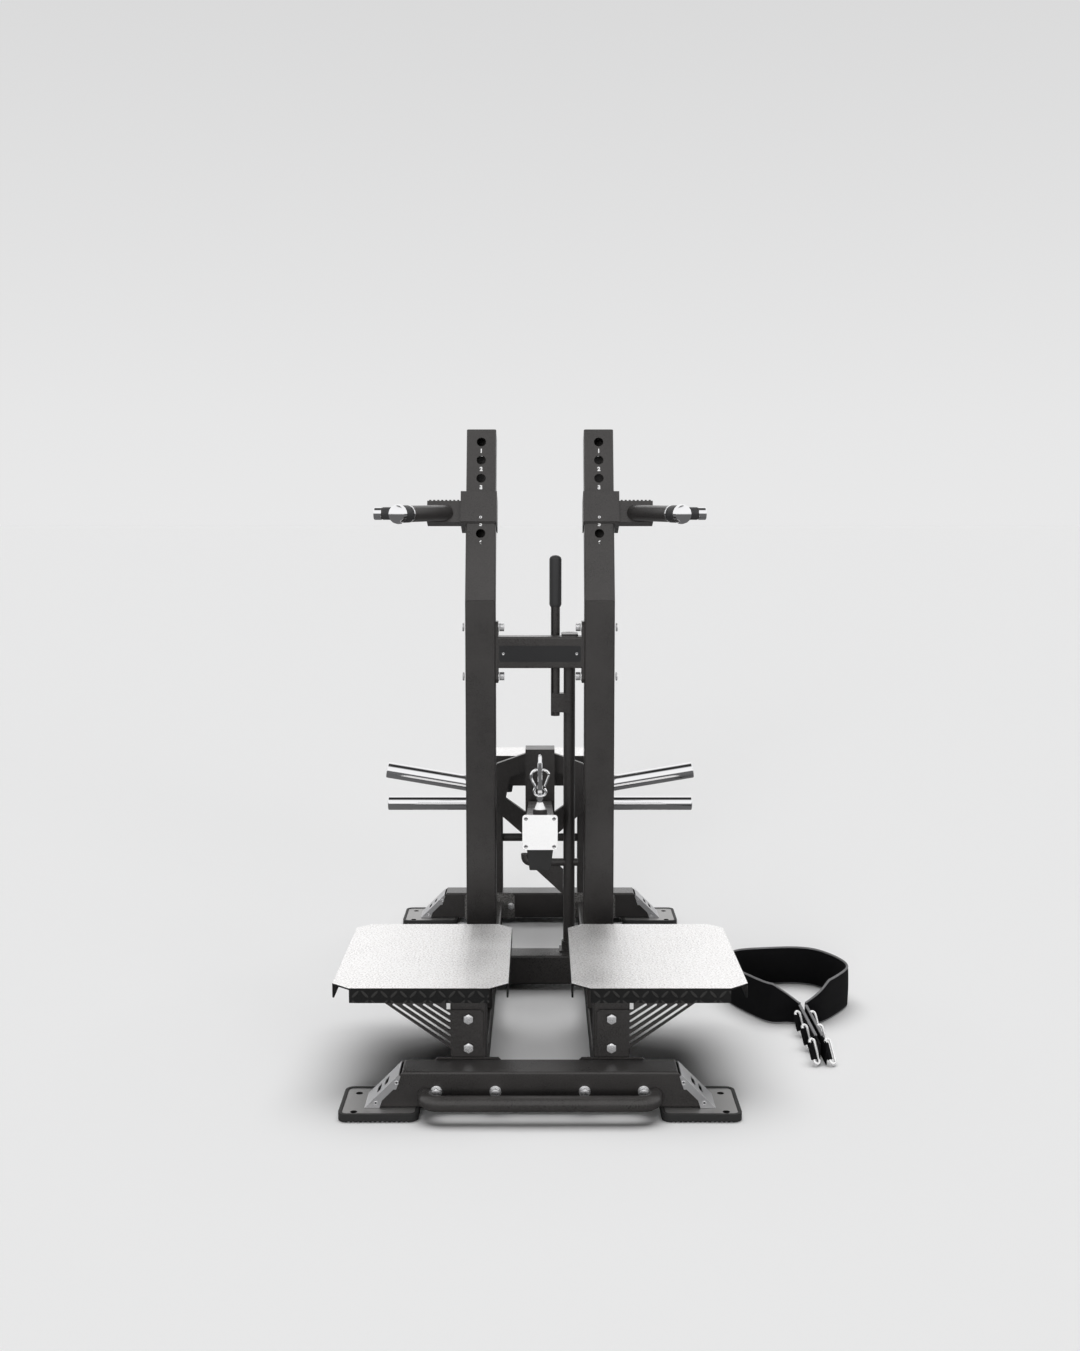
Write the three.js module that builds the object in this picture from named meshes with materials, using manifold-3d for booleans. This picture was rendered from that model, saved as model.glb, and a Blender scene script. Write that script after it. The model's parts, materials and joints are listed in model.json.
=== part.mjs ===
/**
 * A belt squat machine: a low welded base on four rubber-shod feet, two treaded decks, two
 * leaning uprights with sliding handles, a lever arm with weight horns that pivots in a rear
 * tower, a swing-out latch that holds the arm up, and the padded belt that hooks on the arm.
 *
 * Millimetres, +Z up, +Y from the user's side to the rear, +X to the user's right.
 * The machine is laid out from its own middle plane (X = 0), the front face of its front
 * beam (Y = 0) and the floor (Z = 0). The whole group is then moved once, so that the origin
 * is at the middle of the underside of its bounding box.
 */
import * as THREE from 'three';
import { mergeVertices } from 'three/addons/utils/BufferGeometryUtils.js';
import Module from 'manifold-3d';

const wasm = await Module();
wasm.setup();

// Clearances and general fineness
const seatGap = 0.3; // left between two faces that touch
const overrun = 5; // how far a cut runs past what it cuts
const weld = 0.001; // vertices nearer than this are one
const roundSides = 16; // sides of a bar or bore
const boltSides = 8;
const bendSteps = 5; // steps round one bend

// Square tube of the base, the columns and the uprights
const tubeSize = 90;
const tubeWall = 4;
const tubeCorner = 6;
const tubeRise = 18; // underside of the base tubes above the floor
const gauge = 179; // middle plane to the centre line of rails, columns and uprights

// Cross beams
const beamReach = 425; // half length at the underside
const beamTopReach = 334; // half length along the top, the ends being cut on a slant
const rearBeamFace = 1740; // front face of the rear beam
const midBeamFace = 968; // front face of the middle beam

// Side rails and their bolted end flanges
const railHeight = 60;
const flangeThick = 6;
const flangeInner = 90;
const flangeOuter = 270;
const flangeRise = 93; // height of the flange above the underside of the beam
const flangeClip = 14;
const flangeVent = 12; // radius of the vent hole that opens the rail's inside

// Rubber shoes and the steel foot plates in them
const shoeInner = 295;
const shoeOuter = 490;
const shoeFront = 47; // reach in front of the beam's front face
const shoeDepth = 183;
const shoeHeight = 20;
const shoeRim = 9;
const shoeCorner = 22;
const footPlateThick = 5.5;
const footHole = 9;
const footHoleInset = 38;
const footHoleFront = 22; // hole centres from the shoe's front and rear edges
const footHoleRear = 43;
const treadPitch = 11;
const treadDepth = 2;

// Folded end caps
const capThick = 3;
const capLip = 84; // how far the ears reach up the beam
const capEarLow = 34;
const capEarHigh = 12;
const capStep = 28;
const capWindow = 46;
const capWindowWidth = 26;

// Front grip bar
const gripBarRadius = 19;
const gripBarSpan = 280; // half distance between its legs
const gripBarReach = 55; // centre line in front of the beam
const gripBarBend = 42;
const gripBarRise = 50; // centre line above the floor

// Deck stands
const columnSetback = 8; // front face of the front column behind the front flange plane
const gussetThick = 7.4;
const gussetTabInset = 7; // edge of the tab inside the column's side face
const gussetTabLow = 131;
const gussetTabHigh = 233;
const gussetCorner = 8;
const gussetWingReach = 162; // wing tip from the column's side face
const gussetWingRise = 251;
const gussetWindow = 9;
const stripThick = 4;
const stripRun = 239; // end of the flat strip from the column's side face
const bearerDepth = 40;
const bearerWall = 3;
const slotWidth = 7.4;
const slotCount = 5;
const slotTop = 246;
const slotFootGap = 2; // lower ends of the slots from the column's side face
const slotTopRun = 140; // upper end of the outermost slot from the column's side face
const slotTopPitch = 25.2;
const slotFootFirst = 150;
const slotFootPitch = 18;

// Decks
const deckTop = 292;
const deckThick = 5;
const deckInner = 79;
const deckOuter = 521;
const deckLap = 9; // front fold before the rear face of the front beam
const deckDepth = 588;
const deckSkirt = 38;
const deckFrontClipX = 47;
const deckFrontClipY = 42;
const deckBackClip = 39;

// Uprights
const uprightFace = 940; // front face of the uprights
const kneeHeight = 1205; // front face of the upright where it starts to lean
const leanDegrees = 18.5;
const leanLength = 541.5; // length of the leaning part along its front face
const pinHoleRadius = 14.5;
const pinHoleCount = 6;
const pinHolePitch = 58.4;
const pinHoleFirst = 208.8; // lowest hole above the knee, along the tube

// Tie beam between the uprights
const tieHeight = 95;
const tieDepth = 70;
const tieRise = 1000.5; // underside
const tieSetback = 5;
const earThick = 8;
const earHeight = 185;
const earDrop = 45.5; // how far the ears reach below the beam
const earRise = tieRise - earDrop;
const earClip = 12;

// Storage horns
const hornRadius = 24.25;
const hornWall = 4;
const storeHornRise = 645; // centre line at the upright's side
const storeHornTilt = 9.6; // degrees
const storeHornReach = 465;

// Handle carriages
const sleeveWall = 6;
const sleeveInnerWall = 3;
const sleeveHousing = 16; // thickness of the sleeve on the outer side
const sleeveSlip = 0.5;
const sleeveLow = 244.6; // lower edge above the knee, along the tube
const sleeveLength = 96;
const sleeveTail = 4; // how far the side cheeks hang below the sleeve
const sleeveTailDepth = 62;
const bracketReach = 102; // side bracket from the sleeve's side
const bracketHeight = 68;
const bracketDepth = 40;
const bracketSetback = 8;
const bracketLow = 247;
const sideGripRadius = 18;
const sideGripLength = 139;
const frontGripRadius = 24;
const frontGripX = 105; // foot of the forward grip from the upright's centre line
const frontGripTipX = 227;
const frontGripFootDrop = 3; // its foot and its tip below the bracket's middle
const frontGripTipDrop = 9;
const frontGripTipY = 205; // how far its tip stands in front of the bracket
const capRadius = 29;
const capLength = 26;
const sideCapRadius = 19.5;
const sideCapLength = 24;
const toothCount = 8;
const toothHeight = 3;

// Sprung pins of the carriages
const pinRadius = 14;
const pinBossRadius = 24;
const pinBossLength = 22;
const pinKnobRadius = 20;
const pinKnobLength = 26;
const pinRank = 1; // the carriage stands at this hole, counted up from the lowest

// Rear tower
const towerTop = 602;
const headThick = 6;
const headSkirt = 108;
const headDepth = 195;
const stopX = 111;
const stopRadius = 15;
const stopLength = 24;
const axleRadius = 14.5;
const axleSetback = 45; // axle behind the posts' front faces
const axleRise = 303;

// Lever arm
const armWidth = 76;
const armDepth = 90;
const armWall = 5;
const armNoseFace = 560.3; // front end of the arm
const armNoseRise = 583;
const armKneeY = 1550;
const armKneeRise = 440;
const armBossRadius = 32;
const armBossHalf = 55;
const armBossWall = 52;
const noseSize = 98;
const noseThick = 7;
const noseCorner = 8;
const bumperTaper = 4;
const bumperTop = 38;
const bumperFoot = 29;
const bumperDrop = 63;
const bumperLength = 78;
const padHalf = 30;
const padLength = 36;

// Weight carrier on the arm
const postWidth = 98;
const postDepth = 90;
const postWall = 6;
const postLow = 395;
const postHigh = 675;
const postBack = 1540;
const postSlot = 18;
const postSlotLow = 519;
const postSlotHigh = 640;
const ringThick = 25;
const ringReach = 165;
const ringShoulder = 147;
const ringTop = 647;
const ringShoulderRise = 612;
const ringSideHigh = 585;
const ringSideLow = 455;
const ringHip = 148;
const ringHipRise = 445;
const ringLow = 330;
const ringLowHalf = 17;
const windowInner = 49;
const windowTop = 585;
const windowShoulder = 103;
const windowShoulderRise = 567;
const windowHip = 117;
const windowHipRise = 491;
const windowLow = 442;
const loadHornRise = 473;
const loadHornReach = 521;
const hornCollarRadius = 42;
const hornCollarThick = 8;

// Swivel snap hook on the arm's nose
const hookY = 600;
const hookBossRadius = 20;
const hookBossTop = 640;
const hookFlangeRadius = 9.5;
const hookFlangeThick = 15;
const hookStemRadius = 7;
const hookNeckRadius = 6;
const hookPinDepth = 10;
const hookFootUp = 28; // from the boss on the arm to the wire's lower boss
const hookFoot = hookBossTop + hookFootUp;
const hookFootLength = 8;
const hookFootRadius = 9;
const hookWire = 4;
const hookWidth = 25;
const hookWaist = 13;
const hookEar = 17; // the wire bulges below its waist
const hookEarUp = 23;
const hookWaistUp = 34; // from the lower boss to the gate's pivot
const hookNoseUp = 37; // from there to the nose
const hookTopUp = 13; // and from the nose to the top of the wire
const hookWaistRise = hookFoot + hookWaistUp;
const hookNoseRise = hookWaistRise + hookNoseUp;
const hookTopRise = hookNoseRise + hookTopUp;
const hookGateGap = 1.2;
const linkRadius = 6.5; // long link that stands in the hook
const linkHalf = 15; // half its width, to the middle of the bar
const linkLength = 117;

// Release latch
const latchX = 90;
const latchY = 1040;
const poleRadius = 17.75;
const poleSpigotRadius = 9;
const poleSpigotLength = 6;
const bearingThick = 6;
const bearingRadius = 25;
const bearingLap = 50; // how far the upper bearing lies on the tie beam
const baseSize = 60;
const baseThick = 4;
const baseCollar = 25;
const baseCollarWall = 5;
const hookBarRadius = 12;
const hookBarRise = 386;
const restGap = 1.5; // between the bar and the arm's pad, so that the latch turns freely
const hookBarStub = 28;
const hookBarReach = 137;
const hookBarLift = 27;
const hookBarBend = 20;
const latchGussetThick = 8;
const latchGussetReach = 106;
const latchGussetDrop = 102;
const latchGussetTip = 20;
const leverOffset = 43;
const leverRadius = 13.75;
const leverLow = 845;
const leverHigh = 1324;
const leverBlockLow = 857;
const leverBlockHeight = 58;
const leverBlockLap = 9.6; // reach past the lever's centre line
const leverBlockDepth = 32;
const rubberRadius = 18.5;
const rubberNeckRadius = 16;
const rubberLow = 1180;
const rubberNeckHigh = 1182;
const rubberTop = 1337;
const rubberDome = 12;

// Belt on the floor beside the machine
const beltThick = 9;
const beltHeight = 120;
const beltTipHeight = 66;
const beltTipLength = 75; // the band narrows over this length at its two ends
const beltX = 745; // the band's front ends meet near here
const beltY = 655;
const beltSpanX = 175;
const beltSpanY = 375;
const strapThick = 5;
const strapLength = 345;
const ringWire = 4;
const ringTall = 68;
const ringWide = 30;
const ringPitch = 112;
const ringPerStrap = 3;

// Colours
const finishes = {
  powder: { color: 0x3a393b, roughness: 0.55, metalness: 0.35 },
  deck: { color: 0xd9d7d5, roughness: 0.35, metalness: 0.8 },
  chrome: { color: 0xe4e4e6, roughness: 0.12, metalness: 1 },
  bright: { color: 0xc9cacc, roughness: 0.35, metalness: 0.9 },
  rubber: { color: 0x1b1b1c, roughness: 0.85, metalness: 0 },
  web: { color: 0x121213, roughness: 0.9, metalness: 0 },
};

// Solids: closed meshes that can be joined and cut

/** The solid of a closed three.js geometry. */
function solidOf(geometry) {
  const bare = geometry.clone();
  bare.deleteAttribute('normal');
  bare.deleteAttribute('uv');
  const merged = mergeVertices(bare, weld);
  const index = merged.index.array;
  const triangles = [];
  for (let i = 0; i < index.length; i += 3) {
    const [a, b, c] = [index[i], index[i + 1], index[i + 2]];
    if (a !== b && b !== c && c !== a) triangles.push(a, b, c);
  }
  return new wasm.Manifold(new wasm.Mesh({
    numProp: 3,
    vertProperties: new Float32Array(merged.attributes.position.array),
    triVerts: new Uint32Array(triangles),
  }));
}

/** The three.js geometry of a solid. */
function geometryOf(solid) {
  const mesh = solid.getMesh();
  const geometry = new THREE.BufferGeometry();
  const places = new Float32Array(mesh.vertProperties);
  geometry.setAttribute('position', new THREE.BufferAttribute(places, 3));
  geometry.setIndex(new THREE.BufferAttribute(new Uint32Array(mesh.triVerts), 1));
  geometry.computeVertexNormals();
  return geometry;
}

const join = (first, ...rest) => rest.reduce((sum, solid) => sum.add(solid), first);
const cut = (first, ...rest) => rest.reduce((sum, solid) => sum.subtract(solid), first);
const mirrored = (solid) => solid.mirror([1, 0, 0]);
const mirroredDepth = (solid) => solid.mirror([0, 1, 0]);
const shift = (solid, x, y, z) => solid.translate([x, y, z]);

/** Block between two opposite corners. */
function block(x0, x1, y0, y1, z0, z1) {
  const geometry = new THREE.BoxGeometry(x1 - x0, y1 - y0, z1 - z0);
  geometry.translate((x0 + x1) / 2, (y0 + y1) / 2, (z0 + z1) / 2);
  return solidOf(geometry);
}

/** Straight round bar between two points. */
function rod(from, to, radius, sides = roundSides) {
  const start = new THREE.Vector3(...from);
  const end = new THREE.Vector3(...to);
  const along = end.clone().sub(start);
  const geometry = new THREE.CylinderGeometry(radius, radius, along.length(), sides);
  const up = new THREE.Vector3(0, 1, 0);
  const turn = new THREE.Quaternion().setFromUnitVectors(up, along.clone().normalize());
  geometry.applyQuaternion(turn);
  const middle = start.add(end).multiplyScalar(0.5);
  geometry.translate(middle.x, middle.y, middle.z);
  return solidOf(geometry);
}

/** Body turned about the Z axis from a profile of [radius, height] pairs. */
function turned(profile, sides = roundSides) {
  const points = profile.map(([radius, height]) => new THREE.Vector2(radius, height));
  const geometry = new THREE.LatheGeometry(points, sides);
  geometry.rotateX(Math.PI / 2);
  const solid = solidOf(geometry);
  return solid.volume() < 0 ? solidOf(flipped(geometry)) : solid;
}

/** The same geometry with its faces turned round. */
function flipped(geometry) {
  const copy = geometry.clone();
  const index = copy.index.array;
  for (let i = 0; i < index.length; i += 3) {
    [index[i + 1], index[i + 2]] = [index[i + 2], index[i + 1]];
  }
  return copy;
}

const basisOf = {
  xy: [[1, 0, 0], [0, 1, 0], [0, 0, 1]],
  xz: [[1, 0, 0], [0, 0, 1], [0, -1, 0]],
  yz: [[0, 1, 0], [0, 0, 1], [1, 0, 0]],
};

/** Flat plate with its outline in the named plane, starting at `from` along the third axis. */
function plate(plane, outline, from, thickness, holes = []) {
  const shape = new THREE.Shape(outline.map(([u, v]) => new THREE.Vector2(u, v)));
  for (const hole of holes) {
    shape.holes.push(new THREE.Path(hole.map(([u, v]) => new THREE.Vector2(u, v))));
  }
  const geometry = new THREE.ExtrudeGeometry(shape, {
    depth: thickness, bevelEnabled: false, steps: 1,
  });
  const [u, v, w] = basisOf[plane].map((axis) => new THREE.Vector3(...axis));
  geometry.applyMatrix4(new THREE.Matrix4().makeBasis(u, v, w));
  const start = plane === 'xz' ? w.clone().multiplyScalar(-(from + thickness))
    : w.clone().multiplyScalar(from);
  geometry.translate(start.x, start.y, start.z);
  return solidOf(geometry);
}

/** Rectangle with rounded corners, as an outline. */
function roundedBox(u0, u1, v0, v1, radius, steps = 3) {
  const outline = [];
  const corners = [[u1, v1, 0], [u0, v1, 1], [u0, v0, 2], [u1, v0, 3]];
  for (const [u, v, quarter] of corners) {
    const cu = u === u1 ? u - radius : u + radius;
    const cv = v === v1 ? v - radius : v + radius;
    for (let i = 0; i <= steps; i += 1) {
      const angle = (quarter + i / steps) * Math.PI / 2;
      outline.push([cu + radius * Math.cos(angle), cv + radius * Math.sin(angle)]);
    }
  }
  return outline;
}

/** Slot with round ends between two centres, as an outline. */
function roundSlot(from, to, width, steps = 4) {
  const heading = Math.atan2(to[1] - from[1], to[0] - from[0]);
  const outline = [];
  for (const [centre, turn] of [[to, -1], [from, 1]]) {
    for (let i = 0; i <= steps; i += 1) {
      const angle = heading + turn * Math.PI / 2 + (i / steps) * Math.PI;
      outline.push([
        centre[0] + width / 2 * Math.cos(angle), centre[1] + width / 2 * Math.sin(angle)]);
    }
  }
  return outline;
}

/** A line moved sideways to its left, with mitred corners. */
function offsetLine(points, distance) {
  return points.map((point, i) => {
    const before = points[Math.max(i - 1, 0)];
    const after = points[Math.min(i + 1, points.length - 1)];
    const normals = [[before, point], [point, after]]
      .filter(([a, b]) => a !== b)
      .map(([a, b]) => new THREE.Vector2(a[1] - b[1], b[0] - a[0]).normalize());
    const mitre = normals.reduce((sum, n) => sum.add(n), new THREE.Vector2()).normalize();
    const reach = distance / mitre.dot(normals[normals.length - 1]);
    return [point[0] + mitre.x * reach, point[1] + mitre.y * reach];
  });
}

/** Outline of a strip that follows a line between two sideways distances. */
const stripAlong = (points, near, far) => [
  ...offsetLine(points, near), ...offsetLine(points, far).reverse()];

/** Rectangular tube along Z with rounded corners and open ends. */
function tubeZ(width, depth, wall, from, to) {
  const outer = roundedBox(-width / 2, width / 2, -depth / 2, depth / 2, tubeCorner);
  const inner = roundedBox(wall - width / 2, width / 2 - wall, wall - depth / 2,
    depth / 2 - wall, tubeCorner - wall + wall / 2);
  return plate('xy', outer, from, to - from, [inner.reverse()]);
}

/** Curve whose even steps fall on the given stations, so that straights stay cheap. */
class StationCurve extends THREE.Curve {
  constructor(stations) {
    super();
    this.stations = stations;
  }

  getPointAt(u) {
    const place = u * (this.stations.length - 1);
    const i = Math.min(Math.floor(place), this.stations.length - 2);
    return this.stations[i].clone().lerp(this.stations[i + 1], place - i);
  }

  getTangentAt(u) {
    const i = Math.round(u * (this.stations.length - 1));
    const before = this.stations[Math.max(i - 1, 0)];
    const after = this.stations[Math.min(i + 1, this.stations.length - 1)];
    return after.clone().sub(before).normalize();
  }
}

/** Round bar along corner points, each corner bent to the given set-back. */
function bentBar(corners, radius, bend, sides = roundSides) {
  const points = corners.map((corner) => new THREE.Vector3(...corner));
  const stations = [points[0]];
  for (let i = 1; i < points.length - 1; i += 1) {
    const into = points[i - 1].clone().sub(points[i]).setLength(bend).add(points[i]);
    const out = points[i + 1].clone().sub(points[i]).setLength(bend).add(points[i]);
    const arc = new THREE.QuadraticBezierCurve3(into, points[i], out);
    stations.push(...arc.getPoints(bendSteps));
  }
  stations.push(points[points.length - 1]);
  return pipe(stations, radius, sides);
}

/** Round bar through stations. */
function pipe(stations, radius, sides) {
  const ring = [];
  for (let i = 0; i < sides; i += 1) {
    const angle = (i / sides) * Math.PI * 2;
    ring.push(new THREE.Vector2(radius * Math.cos(angle), radius * Math.sin(angle)));
  }
  const geometry = new THREE.ExtrudeGeometry(new THREE.Shape(ring), {
    steps: stations.length - 1, bevelEnabled: false, extrudePath: new StationCurve(stations),
  });
  return solidOf(geometry);
}

// The scene graph

const machine = new THREE.Group();
const armGroup = new THREE.Group();
const latchGroup = new THREE.Group();
const hookGroup = new THREE.Group();
machine.add(armGroup, latchGroup);
armGroup.add(hookGroup);

/** Adds a named mesh to a group. */
function add(name, solid, finish, parent = machine, place = [0, 0, 0]) {
  const material = new THREE.MeshStandardMaterial(finishes[finish]);
  const mesh = new THREE.Mesh(geometryOf(solid), material);
  mesh.name = name;
  mesh.position.set(...place);
  parent.add(mesh);
  return mesh;
}

/** Adds a piece to the right of the middle plane and its mirror image to the left. */
function addPair(name, solid, finish, place = [0, 0, 0], parent = machine) {
  const [x, y, z] = place;
  add(`left_${name}`, mirrored(solid), finish, parent, [-x, y, z]);
  add(`right_${name}`, solid, finish, parent, [x, y, z]);
}

// Base beams

const beamTop = tubeRise + tubeSize;
const half = tubeSize / 2;
const beamSlant = (beamReach - beamTopReach) / tubeSize; // run of the cut end for each mm up
const shoeMiddle = shoeDepth / 2 - shoeFront; // middle of a shoe behind the beam's front face

/** Outline of a beam in X and Z, seen from the front, moved out along its cut ends. */
function beamOutline(grow, low, high) {
  const reach = (z) => beamReach - (z - tubeRise) * beamSlant
    + grow * Math.hypot(1, beamSlant);
  return [[-reach(low), low], [reach(low), low], [reach(high), high], [-reach(high), high]];
}

/** Outline of the foot plate or shoe on the right, shrunk by an inset. */
const footOutline = (inset) => roundedBox(shoeInner + inset, shoeOuter - inset,
  shoeMiddle - shoeDepth / 2 + inset, shoeMiddle + shoeDepth / 2 - inset,
  shoeCorner - inset, 4);

const footPlateTop = tubeRise;
const footPlateInset = shoeRim + seatGap;

function footPlate() {
  const holes = [];
  for (const y of [shoeMiddle - shoeDepth / 2 + footHoleFront,
    shoeMiddle + shoeDepth / 2 - footHoleRear]) {
    holes.push(rod([shoeOuter - footHoleInset, y, 0],
      [shoeOuter - footHoleInset, y, footPlateTop + overrun], footHole, 12));
  }
  return cut(plate('xy', footOutline(footPlateInset), footPlateTop - footPlateThick,
    footPlateThick + tubeWall / 2), ...holes);
}

function crossBeam() {
  const outer = plate('yz', roundedBox(0, tubeSize, tubeRise, beamTop, tubeCorner),
    -beamReach - tubeSize, (beamReach + tubeSize) * 2);
  const bore = plate('yz', roundedBox(tubeWall, tubeSize - tubeWall, tubeRise + tubeWall,
    beamTop - tubeWall, tubeCorner - tubeWall / 2), -shoeOuter - overrun,
  (shoeOuter + overrun) * 2);
  const ends = plate('xz', beamOutline(0, tubeRise - overrun, beamTop + overrun),
    -overrun, tubeSize + overrun * 2);
  const plateRight = cut(footPlate(), block(0, shoeOuter * 2, -shoeDepth, shoeDepth * 2,
    footPlateTop, beamTop));
  return join(cut(outer.intersect(ends), bore), weldedFoot(plateRight),
    mirrored(weldedFoot(plateRight)));
}

/** The foot plate with its top dropped into the beam's lower wall, so that the two are one. */
function weldedFoot(solid) {
  const key = block(shoeInner + footPlateInset * 2, beamReach - tubeSize / 2, tubeWall * 2,
    tubeSize - tubeWall * 2, footPlateTop - footPlateThick, footPlateTop + tubeWall / 2);
  return join(solid, key);
}

add('front_beam', crossBeam(), 'powder');
add('rear_beam', crossBeam(), 'powder', machine, [0, rearBeamFace, 0]);

const railInnerFace = gauge - half;
const midBeam = (() => {
  const reach = railInnerFace - seatGap;
  const outer = roundedBox(0, tubeSize, tubeRise, beamTop, tubeCorner);
  const inner = roundedBox(tubeWall, tubeSize - tubeWall, tubeRise + tubeWall,
    beamTop - tubeWall, tubeCorner - tubeWall / 2);
  const beam = plate('yz', outer, -reach, reach * 2, [inner.reverse()]);
  const footY = latchY - midBeamFace;
  const foot = block(latchX - baseSize / 2, Math.min(latchX + baseSize / 2, reach),
    footY - baseSize / 2, footY + baseSize / 2, beamTop - tubeWall / 2, beamTop + baseThick);
  const collar = rod([latchX, footY, beamTop], [latchX, footY, beamTop + baseThick
    + baseCollar], poleRadius + seatGap + baseCollarWall, 20);
  const socket = rod([latchX, footY, beamTop + baseThick], [latchX, footY, beamTop
    + baseThick + baseCollar + overrun], poleRadius + seatGap, 20);
  return cut(join(beam, foot, collar), socket);
})();
add('mid_beam', midBeam, 'powder', machine, [0, midBeamFace, 0]);

// Side rails

const railFront = tubeSize + seatGap;
const railRear = rearBeamFace - seatGap;
const rail = (() => {
  const outer = roundedBox(-half, half, tubeRise, tubeRise + railHeight, tubeCorner);
  const inner = roundedBox(tubeWall - half, half - tubeWall, tubeRise + tubeWall,
    tubeRise + railHeight - tubeWall, tubeCorner - tubeWall / 2);
  const tube = plate('xz', outer, railFront + flangeThick / 2,
    railRear - railFront - flangeThick, [inner.reverse()]);
  const [inside, outside] = [flangeInner - gauge, flangeOuter - gauge];
  const top = tubeRise + flangeRise;
  const flange = [[inside, tubeRise], [outside, tubeRise], [outside, top - flangeClip],
    [outside - flangeClip, top], [inside + flangeClip, top], [inside, top - flangeClip]];
  const vent = rod([0, 0, tubeRise + railHeight / 2],
    [0, railRear + overrun, tubeRise + railHeight / 2], flangeVent, 12);
  return cut(join(tube, plate('xz', flange, railFront, flangeThick),
    plate('xz', flange, railRear - flangeThick, flangeThick)), vent);
})();
addPair('rail', rail, 'powder', [gauge, 0, 0]);

// Rubber shoes

const shoe = (() => {
  const body = plate('xy', footOutline(0), 0, shoeHeight);
  const pocketFloor = footPlateTop - footPlateThick - seatGap;
  const pocket = plate('xy', footOutline(shoeRim), pocketFloor, shoeHeight);
  const bridge = block(shoeInner - overrun, beamReach, -seatGap * 2, tubeSize + seatGap * 2,
    footPlateTop - seatGap, shoeHeight + overrun);
  const treads = [];
  const span = shoeOuter - shoeInner - shoeCorner * 2;
  const count = Math.floor(span / treadPitch);
  for (let i = 0; i < count; i += 1) {
    const x = shoeInner + shoeCorner + (i + 0.5) * span / count;
    treads.push(block(x - treadPitch / 4, x + treadPitch / 4, -shoeDepth * 2, shoeDepth * 2,
      -overrun, treadDepth));
  }
  return cut(body, pocket, bridge, ...treads);
})();
for (const [row, y] of [['front', 0], ['rear', rearBeamFace]]) {
  addPair(`${row}_shoe`, shoe, 'rubber', [0, y, 0]);
}

// Folded end caps: a face plate on the slanted end and an ear on each side of the beam

const endCap = (() => {
  const low = tubeRise + seatGap;
  const high = tubeRise + capLip;
  const edge = (z, grow) => beamReach - (z - tubeRise) * beamSlant
    + grow * Math.hypot(1, beamSlant);
  const outer = capThick + seatGap;
  const outline = [
    [edge(low, outer), low], [edge(low, outer) - capEarLow - outer, low],
    [edge(low, 0) - capEarLow - overrun, low + capStep * 2 / 3],
    [edge(low, 0) - capEarLow - capStep - overrun, low + capStep * 5 / 3],
    [edge(low, 0) - capEarLow - capStep - capEarHigh, low + capStep * 5 / 3],
    [edge(high, 0), high - overrun], [edge(high, outer), high]];
  const folded = plate('xz', outline, -outer, tubeSize + outer * 2);
  const inside = plate('xz', beamOutline(seatGap, 0, beamTop * 2), -seatGap,
    tubeSize + seatGap * 2);
  const middle = [edge((low + high) / 2, outer), (low + high) / 2];
  const window = plate('xy', roundSlot([0, -capWindow / 2 + capWindowWidth / 4],
    [0, capWindow / 2 - capWindowWidth / 4], capWindowWidth / 2), -overrun * 2, overrun * 4);
  const leaning = window.rotate([0, 90 - Math.atan(beamSlant) * 180 / Math.PI, 0]);
  const rowStep = capWindowWidth * 0.7;
  const cuts = [-1, 1].map((side) => shift(leaning, middle[0] - side * rowStep / 2 * beamSlant,
    tubeSize / 2, middle[1] + side * rowStep / 2));
  return cut(folded, inside, ...cuts);
})();
for (const [row, y] of [['front', 0], ['rear', rearBeamFace]]) {
  addPair(`${row}_end_cap`, endCap, 'bright', [0, y, 0]);
}

// Front grip bar

add('front_grip_bar', bentBar([
  [-gripBarSpan, -seatGap, 0], [-gripBarSpan, -gripBarReach, 0],
  [gripBarSpan, -gripBarReach, 0], [gripBarSpan, -seatGap, 0]], gripBarRadius, gripBarBend),
'powder', machine, [0, 0, gripBarRise]);

// Deck stands: column, slotted wing gusset with its strip, and the bearer under the deck

const columnFoot = tubeRise + railHeight + seatGap;
const deckUnderside = deckTop - deckThick;
const columnTop = deckUnderside - seatGap;
const columnY = tubeSize + columnSetback + half; // centre of the front columns
const deckFront = tubeSize - deckLap;
const deckBack = deckFront + deckDepth;
const deckMiddle = (deckFront + deckBack) / 2;
const column = tubeZ(tubeSize, tubeSize, tubeWall, columnFoot, columnTop);

const gussetBack = -half - seatGap;
const gussetTabInner = half - gussetTabInset;
const gussetWing = half + gussetWingReach;
const stripReach = half + stripRun;
const gusset = (() => {
  const rise = gussetWingRise - gussetTabLow;
  const stripTop = gussetWingRise + stripThick;
  const outline = [
    [gussetCorner - gussetTabInner, gussetTabLow], [gussetTabInner, gussetTabLow],
    [gussetWing, gussetTabLow + rise], [gussetWing, stripTop],
    [half + gussetWindow, stripTop], [half + gussetWindow, gussetTabHigh],
    [gussetCorner - gussetTabInner, gussetTabHigh],
    [-gussetTabInner, gussetTabHigh - gussetCorner],
    [-gussetTabInner, gussetTabLow + gussetCorner]];
  const slots = [];
  for (let i = 0; i < slotCount; i += 1) {
    slots.push(roundSlot([half + slotFootGap, slotFootFirst + i * slotFootPitch],
      [half + slotTopRun - i * slotTopPitch, slotTop], slotWidth).reverse());
  }
  const wing = plate('xz', outline, gussetBack - gussetThick, gussetThick, slots);
  const side = half + seatGap;
  const strip = block(side, stripReach, gussetBack - gussetThick,
    gussetBack + bearerDepth + seatGap, gussetWingRise, stripTop);
  const bearer = cut(
    block(side, stripReach, gussetBack + seatGap, gussetBack + bearerDepth + seatGap,
      gussetWingRise, columnTop),
    block(side + bearerWall, stripReach + overrun, gussetBack + seatGap + bearerWall,
      gussetBack + bearerDepth + seatGap - bearerWall, stripTop, columnTop - bearerWall));
  return join(wing, strip, bearer);
})();
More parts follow.
